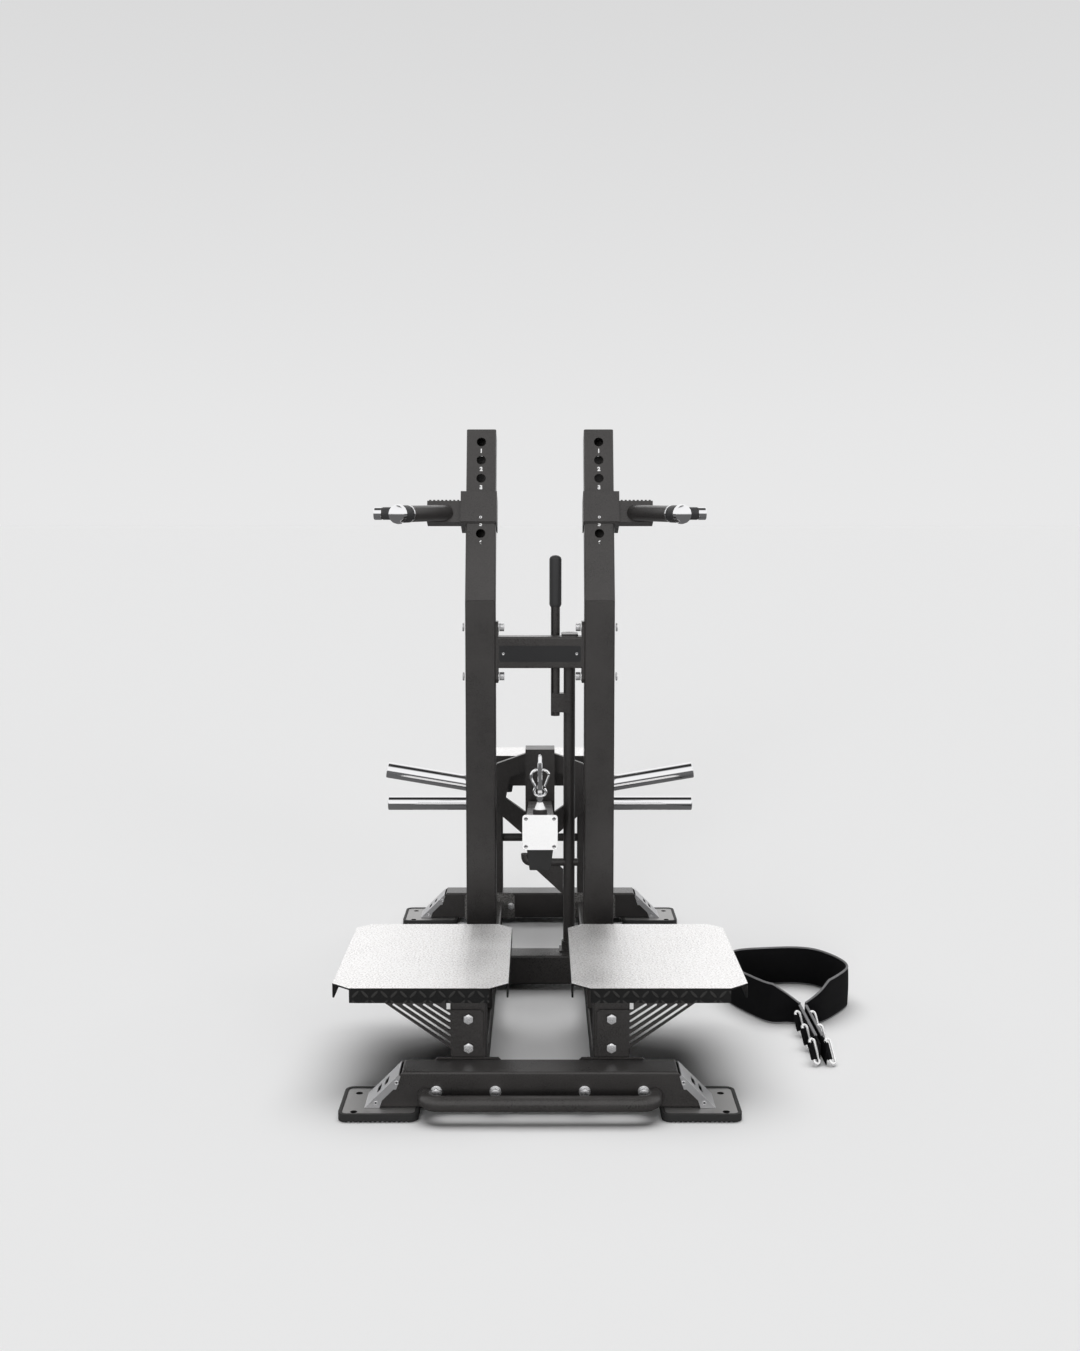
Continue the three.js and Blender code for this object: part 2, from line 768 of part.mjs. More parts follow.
for (const [row, y, turn] of [['front', columnY, (solid) => solid],
  ['rear', deckMiddle * 2 - columnY, mirroredDepth]]) {
  addPair(`${row}_column`, column, 'powder', [gauge, y, 0]);
  addPair(`${row}_gusset`, turn(gusset), 'powder', [gauge, y, 0]);
}

// Decks: one folded plate each, with clipped corners and four skirts

const deck = (() => {
  const outline = (grow) => [
    [deckInner + deckFrontClipX, deckFront - grow], [deckOuter - deckFrontClipX,
      deckFront - grow], [deckOuter + grow, deckFront + deckFrontClipY],
    [deckOuter + grow, deckBack - deckBackClip], [deckOuter - deckBackClip, deckBack + grow],
    [deckInner + deckBackClip, deckBack + grow], [deckInner - grow,
      deckBack - deckBackClip], [deckInner - grow, deckFront + deckFrontClipY]];
  const top = plate('xy', outline(0), deckUnderside, deckThick);
  const low = deckTop - deckSkirt;
  const skirts = [
    block(deckInner + deckFrontClipX, deckOuter - deckFrontClipX, deckFront,
      deckFront + deckThick, low, deckTop),
    block(deckInner + deckBackClip, deckOuter - deckBackClip, deckBack - deckThick, deckBack,
      low, deckTop),
    block(deckInner, deckInner + deckThick, deckFront + deckFrontClipY,
      deckBack - deckBackClip, low, deckTop),
    block(deckOuter - deckThick, deckOuter, deckFront + deckFrontClipY,
      deckBack - deckBackClip, low, deckTop)];
  return join(top, ...skirts);
})();
addPair('deck', deck, 'deck');

// Uprights: a standing tube and a leaning tube, mitred together at the knee

const lean = THREE.MathUtils.degToRad(leanDegrees);
const mitre = Math.tan(lean / 2);
const uprightY = uprightFace + half;
/** Outline of the mitre cut that leaves what lies below (or, turned, above) the knee. */
const lowerTube = (() => {
  const straight = tubeZ(tubeSize, tubeSize, tubeWall, columnFoot, kneeHeight);
  const wedge = plate('yz', [[-half, kneeHeight - seatGap / 2],
    [half, kneeHeight - tubeSize * mitre - seatGap / 2],
    [half + overrun, kneeHeight + overrun], [-half - overrun, kneeHeight + overrun],
    [-half - overrun, kneeHeight - seatGap / 2 + overrun * mitre]],
  -tubeSize, tubeSize * 2);
  return cut(straight, wedge);
})();
addPair('upright', lowerTube, 'powder', [gauge, uprightY, 0]);

const kneeDrop = tubeSize * mitre;
const upperTube = (() => {
  const straight = shift(tubeZ(tubeSize, tubeSize, tubeWall, -kneeDrop * 2, leanLength),
    0, half, 0);
  const wedge = plate('yz', [[0, seatGap / 2], [-overrun, seatGap / 2 - overrun * mitre],
    [-overrun, -kneeDrop * 3], [tubeSize + overrun, -kneeDrop * 3],
    [tubeSize + overrun, seatGap / 2 + (tubeSize + overrun) * mitre]],
  -tubeSize, tubeSize * 2);
  const lid = block(tubeCorner - half, half - tubeCorner, tubeCorner, tubeSize - tubeCorner,
    leanLength - tubeWall, leanLength);
  const rim = block(tubeWall / 2 - half, half - tubeWall / 2, tubeWall / 2,
    tubeSize - tubeWall / 2, leanLength - tubeWall, leanLength - tubeWall / 2);
  const holes = [];
  for (let i = 0; i < pinHoleCount; i += 1) {
    const z = pinHoleFirst + i * pinHolePitch;
    holes.push(rod([0, -overrun, z], [0, tubeSize + overrun, z], pinHoleRadius, 12));
  }
  return cut(join(straight, lid, rim), wedge, ...holes);
})();

/** Group that stands at an upright's knee and leans with its upper tube. */
function leaningGroup(side) {
  const group = new THREE.Group();
  group.position.set(side * gauge, uprightFace, kneeHeight);
  group.rotation.x = -lean;
  machine.add(group);
  return group;
}
const leaning = { left: leaningGroup(-1), right: leaningGroup(1) };
for (const side of ['left', 'right']) {
  add(`${side}_upright_top`, upperTube, 'powder', leaning[side]);
}

// Tie beam with its bolted ears

const tieY = uprightFace + tieSetback;
const tieTop = tieRise + tieHeight;
const tieBeam = (() => {
  const reach = railInnerFace - seatGap;
  const outer = roundedBox(0, tieDepth, tieRise, tieTop, tubeCorner);
  const inner = roundedBox(tubeWall, tieDepth - tubeWall, tieRise + tubeWall,
    tieTop - tubeWall, tubeCorner - tubeWall / 2);
  const tube = plate('yz', outer, -reach, reach * 2, [inner.reverse()]);
  const top = earRise + earHeight;
  const ear = plate('yz', [[earClip, earRise], [tieDepth - earClip, earRise],
    [tieDepth, earRise + earClip], [tieDepth, top - earClip], [tieDepth - earClip, top],
    [earClip, top], [0, top - earClip], [0, earRise + earClip]], reach - earThick, earThick);
  const vent = rod([-reach - overrun, tieDepth / 2, tieRise + tieHeight / 2],
    [reach + overrun, tieDepth / 2, tieRise + tieHeight / 2], flangeVent, 12);
  return cut(join(tube, ear, mirrored(ear)), vent);
})();
add('tie_beam', tieBeam, 'powder', machine, [0, tieY, 0]);

// Storage horns on the uprights

const storeHorn = (() => {
  const tilt = THREE.MathUtils.degToRad(storeHornTilt);
  const length = (storeHornReach - gauge - half) / Math.cos(tilt);
  const tube = turned([[0, -hornRadius * 2], [hornRadius, -hornRadius * 2],
    [hornRadius, length - hornWall / 2], [hornRadius - hornWall / 2, length], [0, length]]);
  const bore = turned([[0, hornRadius], [hornRadius - hornWall, hornRadius],
    [hornRadius - hornWall, length + overrun], [0, length + overrun]]);
  const level = cut(tube, bore).rotate([0, 90 - storeHornTilt, 0]);
  return cut(level, block(-hornRadius * 4, seatGap, -hornRadius * 2, hornRadius * 2,
    -hornRadius * 4, hornRadius * 4));
})();
addPair('storage_horn', storeHorn, 'chrome', [gauge + half, uprightY, storeHornRise]);

// Handle carriages: a sleeve on the leaning tube, a toothed side bracket and two grips

const sleeveHalf = half + sleeveHousing; // outer side, from the tube's centre line
const sleeveInner = half + sleeveSlip + sleeveInnerWall;
const sleeveHigh = sleeveLow + sleeveLength;
const pinHeight = pinHoleFirst + pinRank * pinHolePitch;
const sleeveRear = tubeSize + sleeveSlip + sleeveWall;
const carriage = (() => {
  const front = -sleeveSlip - sleeveWall;
  const shell = block(-sleeveInner, sleeveHalf, front, sleeveRear, sleeveLow, sleeveHigh);
  const cheekOutline = [[front, sleeveLow + overrun], [front + overrun, sleeveLow - overrun],
    [sleeveRear - sleeveTailDepth, sleeveLow - sleeveTail],
    [sleeveRear, sleeveLow - sleeveTail], [sleeveRear, sleeveLow + overrun]];
  const cheeks = plate('yz', cheekOutline, -sleeveInner, sleeveInner + sleeveHalf);
  const bore = block(-half - sleeveSlip, half + sleeveSlip, -sleeveSlip,
    tubeSize + sleeveSlip, sleeveLow - sleeveTail * 2, sleeveHigh + overrun);
  const underGap = block(-half - sleeveSlip, half + sleeveSlip, -sleeveSlip,
    sleeveRear + overrun, sleeveLow - sleeveTail * 2, sleeveLow);
  const bracketFront = bracketSetback;
  const bracketBack = bracketFront + bracketDepth;
  const bracketEnd = sleeveHalf + bracketReach;
  const bracketHigh = bracketLow + bracketHeight;
  const teeth = [];
  const toothPitch = (bracketReach - overrun) / toothCount;
  for (let i = 0; i < toothCount; i += 1) {
    const x = sleeveHalf + overrun + i * toothPitch;
    teeth.push(block(x, x + toothPitch / 2, bracketFront, bracketBack,
      bracketHigh - toothHeight, bracketHigh + toothHeight));
  }
  const bracket = join(block(half + sleeveSlip + sleeveWall / 2, bracketEnd, bracketFront,
    bracketBack, bracketLow, bracketHigh), ...teeth);
  const gripZ = bracketLow + bracketHeight / 2;
  const sideGrip = rod([bracketEnd - overrun, bracketFront + bracketDepth / 2, gripZ],
    [bracketEnd + sideGripLength, bracketFront + bracketDepth / 2, gripZ], sideGripRadius);
  const frontGrip = rod([frontGripX, bracketFront + overrun, gripZ - frontGripFootDrop],
    [frontGripTipX, bracketFront - frontGripTipY, gripZ + levelRise() - frontGripTipDrop],
    frontGripRadius);
  const boss = rod([0, sleeveRear - sleeveWall / 2, pinHeight],
    [0, sleeveRear + pinBossLength, pinHeight], pinBossRadius);
  const pinBore = rod([0, tubeSize, pinHeight],
    [0, sleeveRear + pinBossLength + overrun, pinHeight], pinRadius + seatGap);
  return cut(join(shell, cheeks, bracket, sideGrip, frontGrip, boss), bore, underGap, pinBore);
})();

/** How far the forward grip's tip climbs along the tube so that the grip stays level. */
function levelRise() {
  return frontGripTipY * Math.tan(lean) * -1;
}

/** The chrome end caps of one carriage's side grip and forward grip. */
const [sideGripCap, frontGripCap] = (() => {
  const gripZ = bracketLow + bracketHeight / 2;
  const bracketEnd = sleeveHalf + bracketReach;
  const y = bracketSetback + bracketDepth / 2;
  const sideCap = turned([[0, 0], [sideCapRadius, 0],
    [sideCapRadius, sideCapLength - overrun / 2],
    [sideCapRadius - overrun / 2, sideCapLength], [0, sideCapLength]]).rotate([0, 90, 0]);
  const dome = [[0, 0], [capRadius, 0]];
  for (let i = 1; i <= 4; i += 1) {
    const angle = (i / 4) * Math.PI / 2;
    dome.push([capRadius * Math.cos(angle), capLength / 3
      + capLength * 2 / 3 * Math.sin(angle)]);
  }
  const foot = new THREE.Vector3(frontGripX, bracketSetback + overrun,
    gripZ - frontGripFootDrop);
  const tip = new THREE.Vector3(frontGripTipX, bracketSetback - frontGripTipY,
    gripZ + levelRise() - frontGripTipDrop);
  const along = tip.clone().sub(foot).normalize();
  const place = tip.clone().addScaledVector(along, seatGap);
  const turn = new THREE.Quaternion().setFromUnitVectors(new THREE.Vector3(0, 0, 1), along);
  const matrix = new THREE.Matrix4().compose(place, turn, new THREE.Vector3(1, 1, 1));
  const frontCap = turned(dome).transform(matrix.toArray());
  return [shift(sideCap, bracketEnd + sideGripLength + seatGap, y, gripZ), frontCap];
})();

/** Sprung pin with its knob, standing in the sleeve's rear boss. */
const pullPin = (() => {
  const nose = seatGap - sleeveWall - sleeveSlip - pinBossLength;
  const stand = seatGap;
  return turned([[0, nose], [pinRadius - sleeveSlip * 2, nose], [pinRadius, nose + tubeWall],
    [pinRadius, stand], [pinKnobRadius, stand],
    [pinKnobRadius + sleeveSlip * 2, stand + pinKnobLength / 2],
    [pinKnobRadius - tubeWall / 2, stand + pinKnobLength], [0, stand + pinKnobLength]],
  12).rotate([-90, 0, 0]);
})();
for (const side of ['left', 'right']) {
  const turn = side === 'left' ? mirrored : (solid) => solid;
  add(`${side}_carriage`, turn(carriage), 'powder', leaning[side]);
  add(`${side}_side_cap`, turn(sideGripCap), 'chrome', leaning[side]);
  add(`${side}_front_cap`, turn(frontGripCap), 'chrome', leaning[side]);
  add(`${side}_pull_pin`, pullPin, 'chrome', leaning[side],
    [0, sleeveRear + pinBossLength, pinHeight]);
}

// Rear tower

const postFoot = beamTop + seatGap;
const rearPostY = rearBeamFace + half;
addPair('rear_post', tubeZ(tubeSize, tubeSize, tubeWall, postFoot, towerTop - seatGap),
  'powder', [gauge, rearPostY, 0]);

const headFront = rearBeamFace - seatGap - headThick;
const crosshead = (() => {
  const reach = gauge + half;
  const top = towerTop + headThick;
  const low = top - headSkirt;
  const back = headFront + headDepth;
  return join(block(-reach, reach, headFront, back, towerTop, top),
    block(-reach, reach, headFront, headFront + headThick, low, top),
    block(-reach, reach, back - headThick, back, low, top));
})();
add('crosshead', crosshead, 'powder');
const headLow = towerTop + headThick - headSkirt;
addPair('stop_bumper', turned([[0, -stopLength], [stopRadius - bumperTaper, -stopLength],
  [stopRadius, 0], [0, 0]], 12), 'rubber',
[stopX, headFront + stopRadius, headLow - seatGap]);

const axleY = rearBeamFace + axleSetback;
add('arm_axle', rod([seatGap - railInnerFace, axleY, axleRise],
  [railInnerFace - seatGap, axleY, axleRise], axleRadius), 'powder');

// Lever arm: a knee-bent tube with a pivot boss, the latch pad and the hook's boss

const armLine = [[armNoseFace, armNoseRise], [armKneeY, armKneeRise], [axleY, axleRise]];
/** Centre line of the arm's front run at a place along the machine. */
const armCentre = (y) => armNoseRise
  + (y - armNoseFace) * (armKneeRise - armNoseRise) / (armKneeY - armNoseFace);
const armTilt = Math.atan2(armNoseRise - armKneeRise, armKneeY - armNoseFace);
const armHalfRise = armDepth / 2 / Math.cos(armTilt);

/** The arm's outer block with each face moved out by a distance. */
function armBlock(grow, endAt = 1) {
  const from = [armNoseFace - armDepth, armCentre(armNoseFace - armDepth)];
  const knee = armLine[1];
  const end = [knee[0] + (armLine[2][0] - knee[0]) * endAt,
    knee[1] + (armLine[2][1] - knee[1]) * endAt];
  const outline = stripAlong([from, knee, end], -armDepth / 2 - grow, armDepth / 2 + grow);
  return plate('yz', outline, -armWidth / 2 - grow, armWidth + grow * 2);
}

const padY = latchY;
const padLow = hookBarRise + hookBarRadius + restGap;
const arm = (() => {
  const noseCut = block(-armWidth, armWidth, armNoseFace - armDepth * 3, armNoseFace,
    0, armNoseRise * 2);
  const roundEnd = rod([-armWidth / 2, axleY, axleRise], [armWidth / 2, axleY, axleRise],
    armDepth / 2, 20);
  const boss = rod([-armBossHalf, axleY, axleRise], [armBossHalf, axleY, axleRise],
    armBossRadius, 20);
  const pad = block(-padHalf, padHalf, padY - padLength / 2, padY + padLength / 2, padLow,
    armCentre(padY) - armHalfRise + armWall / 2);
  const hookBoss = rod([0, hookY, armCentre(hookY) + armHalfRise - armWall],
    [0, hookY, hookBossTop], hookBossRadius);
  const hookBore = rod([0, hookY, hookBossTop - hookPinDepth - seatGap],
    [0, hookY, hookBossTop + overrun], hookNeckRadius + seatGap, 12);
  const axleBore = rod([-armBossHalf - overrun, axleY, axleRise],
    [armBossHalf + overrun, axleY, axleRise], axleRadius + seatGap);
  const endShare = 1 - armBossWall / Math.hypot(axleY - armKneeY, axleRise - armKneeRise);
  const hollow = armBlock(-armWall, endShare);
  return cut(join(cut(armBlock(0), noseCut, hollow), roundEnd, boss, pad, hookBoss),
    hookBore, axleBore);
})();
const hubLocal = [0, -axleY, -axleRise];
armGroup.position.set(0, axleY, axleRise);
add('lever_arm', arm, 'powder', armGroup, hubLocal);

const nosePlate = plate('xz', roundedBox(-noseSize / 2, noseSize / 2,
  armNoseRise - noseSize / 2, armNoseRise + noseSize / 2, noseCorner),
armNoseFace - seatGap - noseThick, noseThick);
add('nose_plate', nosePlate, 'bright', armGroup, hubLocal);

const bumper = (() => {
  const slope = (armKneeRise - armNoseRise) / (armKneeY - armNoseFace);
  const top = armCentre(armNoseFace) - armHalfRise - seatGap;
  const front = plate('xz', [[-bumperFoot, top - bumperDrop], [bumperFoot, top - bumperDrop],
    [bumperTop, top + overrun], [-bumperTop, top + overrun]],
  armNoseFace + noseThick / 2, bumperLength);
  const roof = plate('yz', [[0, top - armNoseFace * slope], [armNoseFace * 2,
    top + armNoseFace * slope], [armNoseFace * 2, top * 2], [0, top * 2]],
  -armWidth, armWidth * 2);
  return cut(front, roof);
})();
add('nose_bumper', bumper, 'rubber', armGroup, hubLocal);

// Weight carrier: a slotted post that the arm runs through, and the six-sided horn ring

const carrier = (() => {
  const front = postBack - postDepth;
  const sheetGap = (postWidth - armWidth) / 2;
  const post = block(-postWidth / 2, postWidth / 2, front, postBack, postLow, postHigh);
  const hollow = block(sheetGap - postWidth / 2, postWidth / 2 - sheetGap, front + postWall,
    postBack - postWall, postLow - overrun, postHigh - postWall);
  const ringOutline = [[ringLowHalf, ringLow], [ringHip, ringHipRise],
    [ringReach, ringSideLow], [ringReach, ringSideHigh], [ringShoulder, ringShoulderRise],
    [windowInner, ringTop]];
  const outline = [...ringOutline, ...ringOutline.map(([x, z]) => [-x, z]).reverse()];
  const window = [[windowInner, windowLow], [windowHip, windowHipRise],
    [windowShoulder, windowShoulderRise], [windowInner, windowTop]];
  const ring = plate('xz', outline, postBack, ringThick, [window.slice().reverse(),
    window.map(([x, z]) => [-x, z])]);
  const slot = block(-postSlot / 2, postSlot / 2, front - overrun,
    postBack + ringThick + overrun, postSlotLow, postSlotHigh);
  return cut(join(cut(post, hollow), ring), slot, armBlock(seatGap));
})();
add('weight_carrier', carrier, 'powder', armGroup, hubLocal);

const loadHorn = (() => {
  const length = loadHornReach - ringReach - seatGap;
  const tube = turned([[0, 0], [hornCollarRadius, 0], [hornCollarRadius, hornCollarThick],
    [hornRadius, hornCollarThick], [hornRadius, length - hornWall / 2],
    [hornRadius - hornWall / 2, length], [0, length]]);
  const bore = turned([[0, hornRadius], [hornRadius - hornWall, hornRadius],
    [hornRadius - hornWall, length + overrun], [0, length + overrun]]);
  return cut(tube, bore).rotate([0, 90, 0]);
})();
for (const [side, turn, sign] of [['left', mirrored, -1], ['right', (s) => s, 1]]) {
  add(`${side}_load_horn`, turn(loadHorn), 'chrome', armGroup,
    [sign * (ringReach + seatGap), postBack + ringThick / 2 - axleY,
      loadHornRise - axleRise]);
}

// Swivel snap hook

hookGroup.position.set(0, hookY - axleY, -axleRise);

/** Long round-ended link that stands in the hook, at a right angle to it. */
function longLink(foot) {
  const middle = foot + linkLength / 2;
  const half = (way) => {
    const centre = middle + way * (linkLength / 2 - linkRadius - linkHalf);
    const stations = [new THREE.Vector3(0, -linkHalf, middle - way * linkRadius)];
    for (let i = 0; i <= bendSteps; i += 1) {
      const angle = (i / bendSteps) * Math.PI;
      stations.push(new THREE.Vector3(0, -linkHalf * Math.cos(angle),
        centre + way * linkHalf * Math.sin(angle)));
    }
    stations.push(new THREE.Vector3(0, linkHalf, middle - way * linkRadius));
    return pipe(stations, linkRadius, 8);
  };
  return join(half(1), half(-1));
}
const hookBody = (() => {
  const base = hookBossTop + seatGap;
  const neck = base + hookFlangeThick;
  const stem = turned([[0, hookBossTop - hookPinDepth], [hookNeckRadius,
    hookBossTop - hookPinDepth], [hookNeckRadius, base], [hookFlangeRadius, base],
  [hookFlangeRadius, neck], [hookStemRadius, neck], [hookNeckRadius, hookFoot],
  [hookFootRadius, hookFoot], [hookFootRadius, hookFoot + hookFootLength],
  [0, hookFoot + hookFootLength]]);
  const low = hookFoot + hookFootLength;
  const path = [
    [hookWidth, hookNoseRise], [hookWidth * 0.72, hookTopRise - hookWire], [0, hookTopRise],
    [-hookWidth * 0.72, hookTopRise - hookWire], [-hookWidth, hookNoseRise - hookWire],
    [-hookWidth * 0.88, (hookNoseRise + hookWaistRise) / 2],
    [-hookWaist, hookWaistRise], [-hookEar, hookFoot + hookEarUp],
    [-hookEar / 2, low + hookWire / 2], [0, low], [hookEar / 2, low + hookWire / 2],
    [hookEar, hookFoot + hookEarUp - hookWire], [hookWaist, hookWaistRise - hookWire]];
  const curve = new THREE.CatmullRomCurve3(path.map(([x, z]) => new THREE.Vector3(x, 0, z)));
  return join(stem, pipe(curve.getPoints(26), hookWire, 10), longLink(low + hookWire / 2));
})();
add('hook_body', hookBody, 'chrome', hookGroup);

const gatePivot = [hookWaist, hookWaistRise - hookWire];
const gate = (() => {
  const from = new THREE.Vector3(0, 0, hookWire / 2 + hookGateGap * 3);
  const to = new THREE.Vector3(hookWidth - gatePivot[0], 0,
    hookNoseRise - gatePivot[1] - hookGateGap * 3);
  return rod(from.toArray(), to.toArray(), hookWire * 0.8, 10);
})();
add('hook_gate', gate, 'chrome', hookGroup, [gatePivot[0], 0, gatePivot[1]]);

// Release latch

latchGroup.position.set(latchX, latchY, 0);
const poleTop = tieTop - seatGap;
const baseTop = beamTop + baseThick;
const hookBarPath = [[hookBarStub, 0, hookBarRise], [-hookBarReach, 0, hookBarRise],
  [-hookBarReach, 0, hookBarRise + hookBarLift]];
const pole = (() => {
  const shaft = turned([[0, baseTop + seatGap], [poleRadius, baseTop + seatGap],
    [poleRadius, poleTop], [poleSpigotRadius, poleTop],
    [poleSpigotRadius, poleTop + poleSpigotLength], [0, poleTop + poleSpigotLength]], 20);
  const barBore = rod([-poleRadius * 2, 0, hookBarRise], [poleRadius * 2, 0, hookBarRise],
    hookBarRadius + seatGap);
  const lever = rod([-leverOffset, 0, leverLow], [-leverOffset, 0, leverHigh], leverRadius);
  const bridge = block(-leverOffset - leverBlockLap, 0, -leverBlockDepth / 2,
    leverBlockDepth / 2, leverBlockLow, leverBlockLow + leverBlockHeight);
  return join(cut(shaft, barBore), lever, bridge);
})();
add('latch_pole', pole, 'powder', latchGroup);

const latchBar = (() => {
  const bar = bentBar(hookBarPath, hookBarRadius, hookBarBend);
  const side = -poleRadius - seatGap;
  const web = plate('xz', [[side, hookBarRise - latchGussetDrop], [side,
    hookBarRise - hookBarRadius - latchGussetTip / 2], [side - latchGussetTip / 2,
    hookBarRise - hookBarRadius], [side - latchGussetTip / 2, hookBarRise],
  [-latchGussetReach, hookBarRise], [-latchGussetReach, hookBarRise - latchGussetTip]].reverse(),
  -latchGussetThick / 2, latchGussetThick);
  return join(bar, web);
})();
add('latch_bar', latchBar, 'powder', latchGroup);

const grip = (() => {
  const bore = leverRadius + seatGap;
  const profile = [[bore, rubberLow], [rubberNeckRadius, rubberLow],
    [rubberNeckRadius, rubberNeckHigh], [rubberRadius, rubberNeckHigh + overrun],
    [rubberRadius, rubberTop - rubberDome]];
  for (let i = 1; i <= 3; i += 1) {
    const angle = (i / 3) * Math.PI / 2;
    profile.push([rubberRadius * Math.cos(angle), rubberTop - rubberDome
      + rubberDome * Math.sin(angle)]);
  }
  profile.push([0, leverHigh + seatGap], [bore, leverHigh + seatGap], [bore, rubberLow]);
  return turned(profile);
})();
add('latch_grip', grip, 'rubber', latchGroup, [-leverOffset, 0, 0]);

const latchBearing = (() => {
  const outline = [];
  for (let i = 0; i <= 8; i += 1) {
    const angle = (i / 8) * Math.PI;
    outline.push([bearingRadius * Math.cos(angle), bearingRadius * Math.sin(angle)]);
  }
  const lap = tieY + tieDepth - latchY - bearingLap;
  outline.push([-bearingRadius, lap], [bearingRadius, lap]);
  const sheet = plate('xy', outline, tieTop + seatGap, bearingThick);
  return cut(sheet, rod([0, 0, tieRise], [0, 0, tieTop * 2], poleSpigotRadius + seatGap));
})();
add('latch_bearing', latchBearing, 'powder', machine, [latchX, latchY, 0]);

// Belt: a padded band on edge, two webbing tongues and their steel rings

/** The band's route as shares of its spans, from the left front end round to the right. */
const tongueEnds = [beltX, beltX + beltSpanX * 0.1]; // the band's ends, where the tongues start
const beltRouteShares = [
  [0.02, 0], [-0.16, 0.03], [-0.47, 0.04], [-0.75, 0.24], [-0.98, 0.48], [-1.02, 0.66],
  [-0.78, 0.92], [-0.06, 1], [0.39, 1], [0.68, 0.92], [0.92, 0.72], [1, 0.52],
  [0.86, 0.34], [0.4, 0.05], [0.1, 0]];
const beltRoute = new THREE.CatmullRomCurve3(beltRouteShares.map(([x, y]) => new THREE.Vector3(
  beltX + x * beltSpanX, beltY + y * beltSpanY, 0))).getPoints(34).map(({ x, y }) => [x, y]);
const band = (() => {
  const wall = plate('xy', stripAlong(beltRoute, -beltThick / 2, beltThick / 2), 0,
    beltHeight);
  const taper = plate('xz', [[tongueEnds[0], beltTipHeight], [tongueEnds[1], beltTipHeight],
    [tongueEnds[1] + beltTipLength, beltHeight], [tongueEnds[1] + beltTipLength, beltHeight * 2],
    [tongueEnds[0] - beltTipLength, beltHeight * 2], [tongueEnds[0] - beltTipLength, beltHeight]],
  beltY - beltTipLength, beltTipLength * 2);
  return cut(wall, taper);
})();
add('belt_band', band, 'web');

/** Long steel ring that stands on the floor against a tongue. */
const beltRing = (() => {
  const points = [];
  const steps = 4;
  const r = ringWide / 2 - ringWire;
  const tall = ringTall / 2 - ringWire - r;
  for (const [centre, from] of [[tall, 0], [-tall, Math.PI]]) {
    for (let i = 0; i <= steps; i += 1) {
      const angle = from + (i / steps) * Math.PI;
      points.push([r * Math.cos(angle), centre + r * Math.sin(angle)]);
    }
  }
  const outer = offsetLoop(points, ringWire);
  const inner = offsetLoop(points, -ringWire);
  return plate('yz', outer, -ringWire, ringWire * 2, [inner.reverse()]);
})();

/** Closed convex loop grown about its middle. */
function offsetLoop(points, distance) {
  return points.map(([u, v]) => {
    const length = Math.hypot(u, v);
    return [u + u / length * distance, v + v / length * distance];
  });
}

// A tongue of webbing runs forward from each end of the band
const tongueBack = beltY - beltThick / 2 - seatGap;
['left', 'right'].forEach((name, index) => {
  const x = tongueEnds[index];
  const side = index === 0 ? -1 : 1;
  const web = block(x - strapThick / 2, x + strapThick / 2, tongueBack - strapLength,
    tongueBack, 0, beltTipHeight - strapThick);
  const rings = [];
  for (let i = 0; i < ringPerStrap; i += 1) {
    rings.push(shift(beltRing, x + side * (strapThick / 2 + ringWire / 2),
      tongueBack - ringWide - i * ringPitch, ringTall / 2));
  }
  add(`belt_${name}_tongue`, join(web, ...rings), 'web');
});

// Origin: the middle of the underside of the bounding box

const whole = new THREE.Group();
whole.add(machine);
whole.updateMatrixWorld(true);
const bounds = new THREE.Box3().setFromObject(machine);
machine.position.set(-(bounds.min.x + bounds.max.x) / 2, -(bounds.min.y + bounds.max.y) / 2,
  -bounds.min.z);

export default whole;
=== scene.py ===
# %% [markdown]
# # A belt squat machine in a pale studio
#
# The machine stands on four rubber shoes: a low base of square tube, two tread decks, two
# uprights with sliding handles, a lever arm with weight horns, a rear tower, a release latch,
# and a padded belt on the floor. The solids already have their real size, so this lesson is
# about the finish: soft edges, powder coat, chrome, tread plate, rubber, webbing, and the
# small fasteners.

# %% Load the machine's solids
import json
import math

import bmesh
import bpy
from mathutils import Matrix, Vector

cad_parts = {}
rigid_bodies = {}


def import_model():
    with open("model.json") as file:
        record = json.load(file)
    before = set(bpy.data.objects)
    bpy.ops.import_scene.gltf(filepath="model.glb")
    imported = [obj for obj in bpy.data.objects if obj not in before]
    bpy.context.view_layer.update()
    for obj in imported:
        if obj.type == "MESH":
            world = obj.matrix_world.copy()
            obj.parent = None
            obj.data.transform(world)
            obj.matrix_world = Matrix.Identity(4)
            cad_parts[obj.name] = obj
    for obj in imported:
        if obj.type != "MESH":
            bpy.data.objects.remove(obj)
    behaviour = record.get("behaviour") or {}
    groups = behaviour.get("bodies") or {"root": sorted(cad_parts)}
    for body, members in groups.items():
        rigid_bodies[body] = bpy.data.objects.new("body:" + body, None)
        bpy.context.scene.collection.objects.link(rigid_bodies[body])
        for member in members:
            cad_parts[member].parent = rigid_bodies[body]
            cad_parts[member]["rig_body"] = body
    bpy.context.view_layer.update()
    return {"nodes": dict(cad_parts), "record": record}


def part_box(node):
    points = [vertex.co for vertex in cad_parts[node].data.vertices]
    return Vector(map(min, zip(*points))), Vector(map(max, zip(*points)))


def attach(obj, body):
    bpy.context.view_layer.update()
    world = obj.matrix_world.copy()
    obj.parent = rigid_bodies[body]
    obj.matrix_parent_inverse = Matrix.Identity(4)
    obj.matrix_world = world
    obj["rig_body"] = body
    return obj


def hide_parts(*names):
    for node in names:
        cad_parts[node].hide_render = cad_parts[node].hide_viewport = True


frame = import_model()
bpy.ops.object.select_all(action="DESELECT")
print("pieces of the frame:", len(frame["nodes"]))

